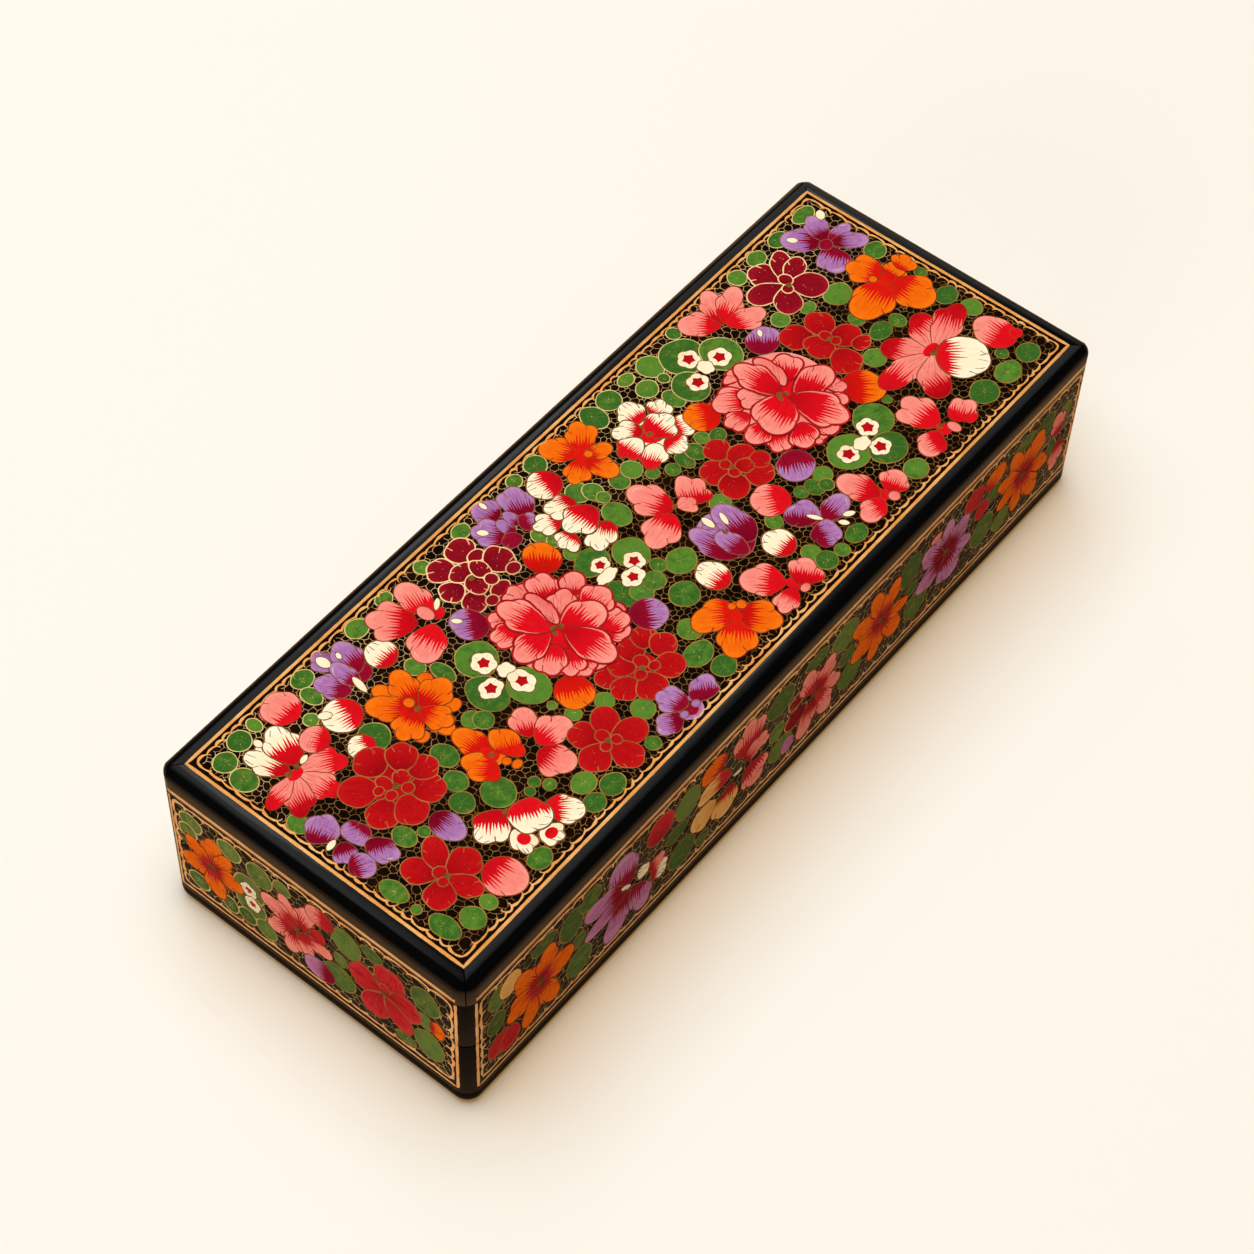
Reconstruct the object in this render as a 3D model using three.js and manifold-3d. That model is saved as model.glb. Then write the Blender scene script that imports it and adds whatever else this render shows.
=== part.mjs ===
// A long painted and lacquered wooden box with a lift-off lid.
// The base and the lid are each four boards round a panel. Four thin collar strips stand up
// inside the base, and the lid slides down over them. Millimetres, +Z up, +X along the box.
// The origin is in the middle of the underside.

import * as THREE from 'three';
import { mergeVertices } from 'three/addons/utils/BufferGeometryUtils.js';
import Module from 'manifold-3d';

const wasm = await Module();
wasm.setup();

// Whole box
const length = 250;
const width = 95;
const height = 54.5;
const cornerRadius = 4.5;

// Base
const bottomThickness = 5;
const bottomEdgeRadius = 3;
const baseWall = 5;
const baseLiningThickness = 1;

// Seam between base and lid
const seamHeight = 27.6;
const seamGap = 0.3;

// Collar that the lid drops over
const collarThickness = 2.5;
const collarRise = 8;
const collarLead = 0.8;
const collarClearance = 0.4;

// Lid
const shoulderWidth = 5.1;
const shoulderDrop = 3;
const panelThickness = 4.5;
const panelGap = 0.2;
const ledgeWidth = 3;
const ledgeThickness = 3.4;
const lidLiningThickness = 0.8;

// Joints in the wood
const lapDepth = 2.3;
const mitreGap = 0.25;
const liningGap = 0.3;

// Headless brads, set in and filled over
const bradRadius = 0.6;
const bradLength = 12;
const bradClearance = 0.3;
const bradCover = 0.8;
const bradInset = 3;
const bradFromEdge = 5;
const bottomBradSpread = 140;

// Steps of the round outlines
const cornerSteps = 8;
const shoulderSteps = 10;
const edgeSteps = 5;
const bradSides = 10;

const lidWall = baseWall - collarClearance;
const baseTop = seamHeight - seamGap / 2;
const lidBottom = seamHeight + seamGap / 2;
const panelBottom = height - panelThickness;
const lidFrameHeight = panelBottom - ledgeThickness;
const frameDepth = shoulderWidth + ledgeWidth;
const collarInset = baseWall + collarThickness;

// Each side is drawn facing -Y, its outer face `reach` from the middle and `half` long
// each way, and is then turned to its place.
const sides = [
  { name: 'front', turn: 0, reach: width / 2, half: length / 2, through: true },
  { name: 'right', turn: Math.PI / 2, reach: length / 2, half: width / 2, through: false },
  { name: 'back', turn: Math.PI, reach: width / 2, half: length / 2, through: true },
  { name: 'left', turn: -Math.PI / 2, reach: length / 2, half: width / 2, through: false },
];

const lacquer = new THREE.MeshStandardMaterial({ color: 0x17181b, roughness: 0.22, metalness: 0 });
const paintedBoard = new THREE.MeshStandardMaterial({ color: 0x8f2a22, roughness: 0.25, metalness: 0 });
const collarWood = new THREE.MeshStandardMaterial({ color: 0x1e1d1d, roughness: 0.4, metalness: 0 });
const felt = new THREE.MeshStandardMaterial({ color: 0x4a1016, roughness: 0.95, metalness: 0 });
const steel = new THREE.MeshStandardMaterial({ color: 0x8a8a8c, roughness: 0.45, metalness: 1 });

function toSolid(geometry) {
  const bare = geometry.clone();
  bare.deleteAttribute('normal');
  bare.deleteAttribute('uv');
  const merged = mergeVertices(bare, 1e-5);
  return new wasm.Manifold(new wasm.Mesh({
    numProp: 3,
    vertProperties: new Float32Array(merged.attributes.position.array),
    triVerts: new Uint32Array(merged.index.array),
  }));
}

function toGeometry(solid) {
  const mesh = solid.getMesh();
  const geometry = new THREE.BufferGeometry();
  geometry.setAttribute('position', new THREE.BufferAttribute(new Float32Array(mesh.vertProperties), 3));
  geometry.setIndex(new THREE.BufferAttribute(new Uint32Array(mesh.triVerts), 1));
  const flat = geometry.toNonIndexed();
  flat.computeVertexNormals();
  return flat;
}

// An upright prism over a plan outline
function prism(outline, bottom, top) {
  const shape = outline instanceof THREE.Shape ? outline : new THREE.Shape(outline);
  const options = { depth: top - bottom, bevelEnabled: false, curveSegments: cornerSteps };
  return new THREE.ExtrudeGeometry(shape, options).translate(0, 0, bottom);
}

function plan(points) {
  return points.map(([x, y]) => new THREE.Vector2(x, y));
}

function roundedPlan(halfX, halfY, radius) {
  const shape = new THREE.Shape();
  shape.absarc(halfX - radius, halfY - radius, radius, 0, Math.PI / 2);
  shape.absarc(-halfX + radius, halfY - radius, radius, Math.PI / 2, Math.PI);
  shape.absarc(-halfX + radius, -halfY + radius, radius, Math.PI, Math.PI * 1.5);
  shape.absarc(halfX - radius, -halfY + radius, radius, Math.PI * 1.5, Math.PI * 2);
  return shape;
}

// The whole outside of the box between two heights, in a side's own frame
function outside(side, bottom, top) {
  return toSolid(prism(roundedPlan(side.half, side.reach, cornerRadius), bottom, top));
}

// A brad hole, centred at a point, along x, y or z
function hole(depth, point, along) {
  const radius = bradRadius + bradClearance;
  const tool = new THREE.CylinderGeometry(radius, radius, depth, bradSides);
  if (along === 'x') tool.rotateZ(Math.PI / 2);
  if (along === 'z') tool.rotateX(Math.PI / 2);
  return toSolid(tool.translate(...point));
}

function bradHeights(bottom, top) {
  return [bottom + bradFromEdge, top - bradFromEdge];
}

// Where the bottom brads of one side stand, along the side
function bottomBradPlaces(side) {
  return side.through ? [-bottomBradSpread / 2, bottomBradSpread / 2] : [0];
}

// A wall board. The long boards run through and are rebated at their ends, and the
// short boards sit in the rebates, held by two brads at each corner.
function wallBoard(side, thickness, bottom, top) {
  const { half, reach, through } = side;
  const past = 1;
  const outer = -reach - past;
  const lap = -reach + lapDepth;
  const inner = -reach + thickness;
  const outline = through
    ? [[-half - past, outer], [half + past, outer], [half + past, lap], [half - thickness, lap],
      [half - thickness, inner], [-half + thickness, inner], [-half + thickness, lap],
      [-half - past, lap]]
    : [[-half + lapDepth, outer], [half - lapDepth, outer], [half - lapDepth, inner],
      [-half + lapDepth, inner]];
  let board = outside(side, bottom, top).intersect(toSolid(prism(plan(outline), bottom, top)));
  const depth = bradLength + 2 * bradClearance;
  const middle = bradCover - bradClearance + depth / 2;
  for (const end of [-1, 1]) {
    for (const z of bradHeights(bottom, top)) {
      const point = through
        ? [end * (half - bradInset), -reach + middle, z]
        : [end * (half - middle), -reach + bradInset, z];
      board = board.subtract(hole(depth, point, through ? 'y' : 'x'));
    }
  }
  return board;
}

// A strip with a constant section, mitred at both ends. The section is given as
// distance in from the outer face, and height.
function mitredStrip(side, section) {
  const { half, reach } = side;
  const past = 1;
  const back = mitreGap * Math.SQRT1_2;
  const shape = new THREE.Shape(section.map(([inset, z]) => new THREE.Vector2(inset - reach, z)));
  const strip = new THREE.ExtrudeGeometry(shape, { depth: 2 * half, bevelEnabled: false });
  const toLength = new THREE.Matrix4().makeBasis(
    new THREE.Vector3(0, 1, 0), new THREE.Vector3(0, 0, 1), new THREE.Vector3(1, 0, 0));
  strip.applyMatrix4(toLength).translate(-half, 0, 0);
  const depths = section.map(([inset]) => inset);
  const heights = section.map(([, z]) => z);
  const deep = Math.max(...depths) + past;
  const shallow = Math.min(...depths) - past;
  const ends = plan([
    [-(half - shallow - back), -reach + shallow], [half - shallow - back, -reach + shallow],
    [half - deep - back, -reach + deep], [-(half - deep - back), -reach + deep],
  ]);
  const mitre = toSolid(prism(ends, Math.min(...heights) - past, Math.max(...heights) + past));
  return toSolid(strip).intersect(mitre);
}

// Stacked rings of equal count, closed by a flat face below and above
function loft(rings) {
  const count = rings[0].length;
  const positions = rings.flat().flatMap((point) => point.toArray());
  const index = [];
  for (let level = 0; level + 1 < rings.length; level += 1) {
    for (let i = 0; i < count; i += 1) {
      const a = level * count + i;
      const b = level * count + (i + 1) % count;
      index.push(a, b, b + count, a, b + count, a + count);
    }
  }
  const last = (rings.length - 1) * count;
  for (let i = 1; i + 1 < count; i += 1) {
    index.push(0, i + 1, i, last, last + i, last + i + 1);
  }
  const geometry = new THREE.BufferGeometry();
  geometry.setAttribute('position', new THREE.Float32BufferAttribute(positions, 3));
  geometry.setIndex(index);
  return geometry;
}

function ring(inset, z) {
  const radius = Math.max(cornerRadius - inset, cornerRadius / 10);
  const shape = roundedPlan(length / 2 - inset, width / 2 - inset, radius);
  const points = shape.extractPoints(cornerSteps).shape;
  const first = points[0];
  const last = points[points.length - 1];
  if (first.distanceTo(last) < 1e-6) points.pop();
  return points.map((point) => new THREE.Vector3(point.x, point.y, z));
}

function named(name, geometry, material, turn = 0) {
  const mesh = new THREE.Mesh(geometry, material);
  mesh.name = name;
  mesh.rotation.z = turn;
  return mesh;
}

// Bottom panel: a flat board with a rounded lower edge
function bottomPanel() {
  const rings = [];
  for (let step = 0; step <= edgeSteps; step += 1) {
    const angle = (step / edgeSteps) * (Math.PI / 2);
    rings.push(ring(bottomEdgeRadius * (1 - Math.sin(angle)), bottomEdgeRadius * (1 - Math.cos(angle))));
  }
  rings.push(ring(0, bottomThickness));
  let panel = toSolid(loft(rings));
  for (const side of sides) {
    for (const along of bottomBradPlaces(side)) {
      const spot = new THREE.Vector3(along, -side.reach + baseWall / 2, bottomThickness);
      spot.applyAxisAngle(new THREE.Vector3(0, 0, 1), side.turn);
      const depth = 2 * (bottomThickness - bradCover + bradClearance);
      panel = panel.subtract(hole(depth, spot.toArray(), 'z'));
    }
  }
  return panel;
}

function baseBoard(side) {
  let board = wallBoard(side, baseWall, bottomThickness, baseTop);
  for (const along of bottomBradPlaces(side)) {
    const depth = 2 * (bradLength + bradCover + bradClearance - bottomThickness);
    board = board.subtract(hole(depth, [along, -side.reach + baseWall / 2, bottomThickness], 'z'));
  }
  return board;
}

// Collar strip: stands on the bottom panel against the wall, its outer top edge eased
function collarSection() {
  const top = seamHeight + collarRise;
  return [
    [baseWall, bottomThickness], [collarInset, bottomThickness], [collarInset, top],
    [baseWall + collarLead, top], [baseWall, top - collarLead],
  ];
}

// Lid moulding: upright below, a quarter ellipse above, with a ledge for the panel
function mouldingSection() {
  const section = [
    [0, lidFrameHeight], [frameDepth, lidFrameHeight], [frameDepth, panelBottom],
    [shoulderWidth, panelBottom],
  ];
  for (let step = 0; step <= shoulderSteps; step += 1) {
    const angle = (step / shoulderSteps) * (Math.PI / 2);
    const inset = shoulderWidth * (1 - Math.sin(angle));
    section.push([inset, height - shoulderDrop * (1 - Math.cos(angle))]);
  }
  return section;
}

function flatSheet(inset, bottom, top) {
  const x = length / 2 - inset;
  const y = width / 2 - inset;
  return prism(plan([[-x, -y], [x, -y], [x, y], [-x, y]]), bottom, top);
}

function brad(name, point, along, turn) {
  const geometry = new THREE.CylinderGeometry(bradRadius, bradRadius, bradLength, bradSides);
  if (along === 'z') geometry.rotateX(Math.PI / 2);
  return named(name, geometry.translate(...point), steel, turn);
}

// Brads through the rebated ends of the two long boards
function cornerBrads(prefix, bottom, top) {
  const brads = [];
  for (const side of sides.filter(({ through }) => through)) {
    for (const end of [-1, 1]) {
      bradHeights(bottom, top).forEach((z, i) => {
        const across = side.name === 'front' ? end : -end;
        const corner = `${side.name}_${across < 0 ? 'left' : 'right'}_${i ? 'upper' : 'lower'}`;
        const point = [end * (side.half - bradInset), -side.reach + bradCover + bradLength / 2, z];
        brads.push(brad(`${prefix}_brad_${corner}`, point, 'y', side.turn));
      });
    }
  }
  return brads;
}

function bottomBrads() {
  const brads = [];
  for (const side of sides) {
    bottomBradPlaces(side).forEach((along, i) => {
      const point = [along, -side.reach + baseWall / 2, bradCover + bradLength / 2];
      brads.push(brad(`bottom_brad_${side.name}_${i + 1}`, point, 'z', side.turn));
    });
  }
  return brads;
}

const base = new THREE.Group();
base.add(named('base_bottom_panel', toGeometry(bottomPanel()), lacquer));
for (const side of sides) {
  base.add(named(`base_wall_${side.name}`, toGeometry(baseBoard(side)), lacquer, side.turn));
  const collar = mitredStrip(side, collarSection());
  base.add(named(`collar_${side.name}`, toGeometry(collar), collarWood, side.turn));
}
const baseLiningTop = bottomThickness + baseLiningThickness;
base.add(named('base_lining', flatSheet(collarInset + liningGap, bottomThickness, baseLiningTop), felt));
base.add(...cornerBrads('base', bottomThickness, baseTop), ...bottomBrads());

const lid = new THREE.Group();
lid.add(named('lid_top_panel', flatSheet(shoulderWidth + panelGap, panelBottom, height), paintedBoard));
for (const side of sides) {
  const moulding = mitredStrip(side, mouldingSection())
    .intersect(outside(side, lidFrameHeight, height));
  lid.add(named(`lid_moulding_${side.name}`, toGeometry(moulding), lacquer, side.turn));
  const board = wallBoard(side, lidWall, lidBottom, lidFrameHeight);
  lid.add(named(`lid_wall_${side.name}`, toGeometry(board), lacquer, side.turn));
}
const lidLiningBottom = panelBottom - lidLiningThickness;
lid.add(named('lid_lining', flatSheet(frameDepth + liningGap, lidLiningBottom, panelBottom), felt));
lid.add(...cornerBrads('lid', lidBottom, lidFrameHeight));

const box = new THREE.Group();
box.add(base, lid);

export default box;
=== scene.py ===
import math
import random

import bmesh
import bpy
from mathutils import Matrix, Vector
from mathutils.geometry import delaunay_2d_cdt


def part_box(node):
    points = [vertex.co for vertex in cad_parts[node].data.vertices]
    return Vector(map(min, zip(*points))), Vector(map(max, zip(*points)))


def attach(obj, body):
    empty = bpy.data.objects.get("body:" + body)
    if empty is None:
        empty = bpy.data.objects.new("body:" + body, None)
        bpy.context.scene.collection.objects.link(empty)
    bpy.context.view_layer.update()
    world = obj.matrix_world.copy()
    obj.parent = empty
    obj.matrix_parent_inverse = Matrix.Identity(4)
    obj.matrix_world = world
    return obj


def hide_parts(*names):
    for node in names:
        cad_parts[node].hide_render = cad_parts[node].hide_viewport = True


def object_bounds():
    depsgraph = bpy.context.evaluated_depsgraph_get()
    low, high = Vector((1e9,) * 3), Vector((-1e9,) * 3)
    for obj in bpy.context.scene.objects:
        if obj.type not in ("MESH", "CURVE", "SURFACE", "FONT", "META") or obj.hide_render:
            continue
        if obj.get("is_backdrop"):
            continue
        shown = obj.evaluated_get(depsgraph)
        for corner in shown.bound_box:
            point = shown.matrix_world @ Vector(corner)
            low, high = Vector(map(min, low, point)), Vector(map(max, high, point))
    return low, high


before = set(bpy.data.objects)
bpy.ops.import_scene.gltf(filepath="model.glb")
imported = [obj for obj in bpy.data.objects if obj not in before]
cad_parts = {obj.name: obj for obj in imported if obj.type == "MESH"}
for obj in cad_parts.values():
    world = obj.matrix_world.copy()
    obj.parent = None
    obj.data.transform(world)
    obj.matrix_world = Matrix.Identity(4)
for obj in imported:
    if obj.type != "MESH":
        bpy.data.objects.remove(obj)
cad_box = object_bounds()


# Camera. It looks down on the near corner from the front left, rolled by a little, with the
# field of view of a short telephoto lens.
MM = 0.001
camera_place = Vector((-376.6, -276.0, 657.2)) * MM
camera_azimuth, camera_elevation, camera_roll = (math.radians(a) for a in (53.14, 53.80, 2.50))
lens, sensor_width = 89.33, 36

right = Vector((math.cos(camera_azimuth), -math.sin(camera_azimuth), 0))
ahead = Vector((math.sin(camera_azimuth) * math.cos(camera_elevation),
                math.cos(camera_azimuth) * math.cos(camera_elevation), -math.sin(camera_elevation)))
turn = Matrix.Rotation(-camera_roll, 3, ahead)
camera_axes = Matrix((turn @ right, turn @ right.cross(ahead), -ahead)).transposed()
camera = bpy.data.objects.new("camera", bpy.data.cameras.new("camera"))
camera.data.sensor_width, camera.data.lens = sensor_width, lens
camera.matrix_world = Matrix.Translation(camera_place) @ camera_axes.to_4x4()
bpy.context.scene.collection.objects.link(camera)
bpy.context.scene.camera = camera
bpy.context.scene.view_settings.view_transform = "Standard"


# Materials. A material's even values are set on its shader, and its marks and clouds are
# noise, summed and mixed by a tree of nodes that is written as sums and products of wires.
def tint(red, green, blue):
    """The linear colour of a paint given by its eight-bit values."""
    shares = (value / 255 for value in (red, green, blue))
    return tuple(s / 12.92 if s < 0.04045 else ((s + 0.055) / 1.055) ** 2.4 for s in shares) + (1,)


class Wire:
    """A socket in a material. Sums and products of wires add Math nodes to its tree."""

    def __init__(self, tree, socket=None):
        self.tree, self.socket = tree, socket

    def node(self, kind, inputs=None, output=0, **settings):
        made = self.tree.nodes.new("ShaderNode" + kind)
        for name, value in settings.items():
            setattr(made, name, value)
        for name, value in (inputs or {}).items():
            if isinstance(value, Wire):
                self.tree.links.new(value.socket, made.inputs[name])
            else:
                made.inputs[name].default_value = value
        return Wire(self.tree, made.outputs[output])

    def maths(self, operation, *values):
        return self.node("Math", dict(enumerate(values)), operation=operation)

    def vector(self, operation, *values, output=0):
        return self.node("VectorMath", dict(enumerate(values)), output, operation=operation)

    def __add__(self, other):
        return self.maths("ADD", self, other)

    def __sub__(self, other):
        return self.maths("SUBTRACT", self, other)

    def __mul__(self, other):
        return self.maths("MULTIPLY", self, other)

    __radd__ = __add__
    __rmul__ = __mul__

    def between(self, low, high):
        """0 below low, 1 above high, and smooth in between."""
        return self.node("MapRange", {"Value": self, "From Min": low, "From Max": high},
                         interpolation_type="SMOOTHSTEP")

    def mix(self, first, second):
        """The first colour where this wire is 0, the second where it is 1."""
        return self.node("Mix", {0: self, 6: first, 7: second}, output=2, data_type="RGBA")

    def part(self, axis):
        return self.node("SeparateXYZ", {0: self}, output=axis)

    def places(self):
        return self.node("TexCoord", output="Object")

    def noise(self, scale, detail=3.0, at=None, roughness=0.55):
        inputs = {"Vector": at or self.places(), "Scale": scale, "Detail": detail, "Roughness": roughness}
        return self.node("TexNoise", inputs)

    def for_rays(self, kind, others, chosen):
        """The second shader for one kind of ray, and the first for all others."""
        return self.node("MixShader", {0: self.node("LightPath", output=kind), 1: others, 2: chosen})

    def to_surface(self, output):
        self.tree.links.new(self.socket, self.tree.nodes[output].inputs["Surface"])


def new_finish(name, **values):
    """A material whose even values are set on its shader. Returns the material and a wire."""
    material = bpy.data.materials.new(name)
    material.use_nodes = True
    shader = material.node_tree.nodes["Principled BSDF"]
    for socket, value in values.items():
        shader.inputs[socket.replace("_", " ")].default_value = value
    return material, Wire(material.node_tree)


def feed(material, base, roughness, bumps, strength, distance):
    """Links the colour, roughness and bumps, of a depth in metres, to a material's shader."""
    normal = bumps.node("Bump", {"Height": bumps, "Strength": strength, "Distance": distance})
    shader = material.node_tree.nodes["Principled BSDF"]
    for name, wire in (("Base Color", base), ("Roughness", roughness), ("Normal", normal)):
        material.node_tree.links.new(wire.socket, shader.inputs[name])
    return material


# Floor. A plain sheet of cream card, much larger than the box, which keeps its soft shadow.
# What the camera sees of it is a little warmer than its light, with a painted shadow near the box.
floor_size = 16.0
floor_drop = 0.05 * MM
painted_shadow_depth, painted_shadow_reach, foot_rounding = 0.3, 2.2 * MM, 4.5 * MM
in_gloss, in_view, added_warmth = (0.40, 0.235, 0.12, 1), (0.565, 0.722, 0.815, 1), (0.408, 0.194, 0.0, 1)
card, wire = new_finish("cream_card", Base_Color=tint(230, 208, 182), Roughness=0.95, Specular_IOR_Level=0.1)
bounced = Wire(card.node_tree, card.node_tree.nodes["Principled BSDF"].outputs[0])
bounced = wire.for_rays("Is Glossy Ray", bounced, wire.node("BsdfDiffuse", {"Color": in_gloss}))
shown = wire.node("AddShader", {0: wire.node("BsdfDiffuse", {"Color": in_view}),
                                1: wire.node("Emission", {"Color": added_warmth, "Strength": 1.0})})
foot = Vector((cad_box[1][0] - foot_rounding, cad_box[1][1] - foot_rounding, 1))
outside = wire.vector("SUBTRACT", wire.vector("ABSOLUTE", wire.places()), foot)
gap = wire.vector("LENGTH", wire.vector("MAXIMUM", outside, (0, 0, 0)), output="Value") - foot_rounding
# Painted contact shadow: the camera's view of the floor is mixed towards black close to the box's foot.
painted_contact_shadow = wire.maths("EXPONENT", gap * (-1 / painted_shadow_reach)) * painted_shadow_depth
painted_shadow_shader = wire.node("BsdfDiffuse", {"Color": (0, 0, 0, 1)})
shown = wire.node("MixShader", {0: wire.node("Clamp", {0: painted_contact_shadow}), 1: shown, 2: painted_shadow_shader})
wire.for_rays("Is Camera Ray", bounced, shown).to_surface("Material Output")
bpy.ops.mesh.primitive_plane_add(size=floor_size, location=(0, 0, -floor_drop))
floor = bpy.context.object
floor.name = "floor"
floor.data.materials.append(card)
floor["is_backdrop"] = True


# Light. One wide softbox straight overhead and a dim room, so that the floor lights the sides.
# What the gloss mirrors is a pale ceiling over darker walls, and a window far behind the box.
room_strength = 0.08
wall_tints = ((0.0, (172, 132, 98)), (0.06, (60, 50, 40)), (0.5, (30, 28, 26)), (1.0, (24, 24, 26)))
mirrored_patches = (((0.15, 0.46, 0.875), 0.86, 1.01, 0.82), ((0.80, 0.38, 0.46), 0.88, 0.99, 0.55))
lamps = (("softbox", (-0.08, 0.42, 2.8), 3.1, 91.0, "DISK", False),
         ("window", (0.72, 0.98, 1.25), 0.62, 1.6, "SQUARE", True),
         ("fill", (-2.6, -0.6, 0.75), 1.4, 17.5, "SQUARE", False))

world = bpy.data.worlds.new("studio")
bpy.context.scene.world = world
world.use_nodes = True
wire = Wire(world.node_tree)
walls = wire.node("ValToRGB", {0: wire.node("TexCoord").part("Z")})
ramp = walls.socket.node.color_ramp.elements
for number, (height, wall_tint) in enumerate(wall_tints):
    stop = ramp[number] if number < len(ramp) else ramp.new(1)
    stop.position, stop.color = height, tint(*wall_tint)
for direction, rim, middle, glow in mirrored_patches:
    towards = wire.vector("DOT_PRODUCT", wire.node("TexCoord"), direction, output="Value")
    walls = towards.between(rim, middle).mix(walls, (glow, glow, glow, 1))
mirrored = wire.node("Background", {"Color": walls, "Strength": 1.0})
lighting = wire.node("Background", {"Color": tint(255, 246, 232), "Strength": room_strength})
backdrop = wire.node("Background", {"Color": tint(254, 248, 235), "Strength": 1.0})
lit = wire.for_rays("Is Glossy Ray", lighting, mirrored)
wire.for_rays("Is Camera Ray", lit, backdrop).to_surface("World Output")
for name, place, width, power, shape, seen_in_gloss in lamps:
    place = Vector(place)
    lamp = bpy.data.objects.new(name, bpy.data.lights.new(name, "AREA"))
    lamp.data.shape, lamp.data.size, lamp.data.energy = shape, width, power
    lamp.matrix_world = Matrix.Translation(place) @ place.to_track_quat("Z", "Y").to_matrix().to_4x4()
    lamp.visible_glossy = seen_in_gloss
    bpy.context.scene.collection.objects.link(lamp)


# Bottom board. A flat board whose upright corners are rounded with the walls', and whose
# lower edge is rounded over where the box stands. Black lacquer in many thin coats.
corner_radius = 4.5 * MM
corner_segments = 20
rim_easing, rim_segments = 0.12 * MM, 2
bottom_edge_radius, bottom_edge_segments = 3.0 * MM, 8
smooth_angle = math.radians(40)


def add_block(name, low, high, editing=True):
    """A cube stretched between two corners, with nothing else selected."""
    low, high = Vector(low), Vector(high)
    bpy.ops.object.select_all(action="DESELECT")
    bpy.ops.mesh.primitive_cube_add(size=1, location=(low + high) / 2, scale=high - low)
    block = bpy.context.object
    block.name = block.data.name = name
    bpy.ops.object.transform_apply(location=True, rotation=True, scale=True)
    if editing:
        bpy.ops.object.mode_set(mode="EDIT")
        bpy.ops.mesh.select_all(action="SELECT")
    return block


def pick(kind, test):
    """Selects the edges or faces of the edited piece whose corners all pass a test."""
    piece = bpy.context.edit_object
    bpy.ops.mesh.select_all(action="DESELECT")
    bpy.ops.mesh.select_mode(type=kind)
    mesh = bmesh.from_edit_mesh(piece.data)
    for part in mesh.edges if kind == "EDGE" else mesh.faces:
        part.select_set(all(test(corner.co) for corner in part.verts))
    bmesh.update_edit_mesh(piece.data)


def near(value, goal):
    return abs(value - goal) < 1e-6


def bevel(width, segments):
    bpy.ops.mesh.bevel(offset=width, segments=segments, affect="EDGES")


def round_upright_corners():
    for x in (-half_length, half_length):
        for y in (-half_width, half_width):
            pick("EDGE", lambda co: near(co.x, x) and near(co.y, y))
            bevel(corner_radius, corner_segments)


def round_rim(level, radius, segments):
    """Rounds the outline of the edited block at one height."""
    pick("EDGE", lambda co: near(co.z, level))
    bevel(radius, segments)


def weld():
    bpy.ops.mesh.select_all(action="SELECT")
    bpy.ops.mesh.remove_doubles(threshold=1e-7)


def smooth(piece):
    bpy.ops.object.select_all(action="DESELECT")
    piece.select_set(True)
    bpy.context.view_layer.objects.active = piece
    bpy.ops.object.shade_smooth_by_angle(angle=smooth_angle)


def leave_edit(piece):
    weld()
    bpy.ops.mesh.normals_make_consistent(inside=False)
    bpy.ops.object.mode_set(mode="OBJECT")
    smooth(piece)


def lacquer_finish(name, colour, gloss, wave, ior=1.17):
    """Polished lacquer: almost flat, with soft waves from the brush and finer rubbing marks."""
    material, wire = new_finish(name, IOR=ior)
    cloud = wire.noise(60.0)
    rub = wire.noise(900.0, detail=5.0)
    base = cloud.between(0.3, 0.7).mix(tint(*colour), tint(*(value * 1.25 for value in colour)))
    waves = wire.noise(140.0, detail=1.0) + 0.06 * rub
    return feed(material, base, gloss + 0.08 * rub, waves, wave, 0.25 * MM)


def finished(piece, body, slot, material, *nodes):
    """Gives a piece its finish, its body and the nodes that it stands for."""
    piece.data.materials.clear()
    piece.data.materials.append(material)
    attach(piece, body)
    if nodes:
        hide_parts(*nodes)


black_lacquer = lacquer_finish("black_lacquer", (7, 7, 7), 0.12, 0.25)
bottom_low, bottom_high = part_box("base_bottom_panel")
half_length, half_width = bottom_high.x, bottom_high.y

bottom = add_block("bottom_board", bottom_low, bottom_high)
round_upright_corners()
round_rim(bottom_low.z, bottom_edge_radius, bottom_edge_segments)
round_rim(bottom_high.z, rim_easing, rim_segments)
leave_edit(bottom)
finished(bottom, "base", "black_lacquer", black_lacquer, "base_bottom_panel")


# Wall boards. The long boards run through and are rebated for the short ones. The lacquer
# hides the joints; the boards' long edges are eased along the seam and under the moulding.
seam_easing = 0.3 * MM
joint_easing = 0.22 * MM
easing_segments = 3
overshoot = 2 * MM
far_side = {"front": "back", "left": "right"}


def cut(piece, tool, operation):
    step = piece.modifiers.new("cut", "BOOLEAN")
    step.operation, step.object, step.solver = operation, tool, "EXACT"
    bpy.context.view_layer.objects.active = piece
    bpy.ops.object.modifier_apply(modifier=step.name)
    bpy.data.objects.remove(tool)


def finish_pair(piece, side, name, node, body, slot, material):
    """Finishes the piece of one side, and a copy of it turned round to the side across."""
    smooth(piece)
    other = bpy.data.objects.new("other", piece.data.copy())
    other.data.transform(Matrix.Rotation(math.pi, 4, "Z"))
    bpy.context.scene.collection.objects.link(other)
    for made, side_name in ((piece, side), (other, far_side[side])):
        made.name = made.data.name = name.replace("SIDE", side_name)
        finished(made, body, slot, material, node.replace("SIDE", side_name))


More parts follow.
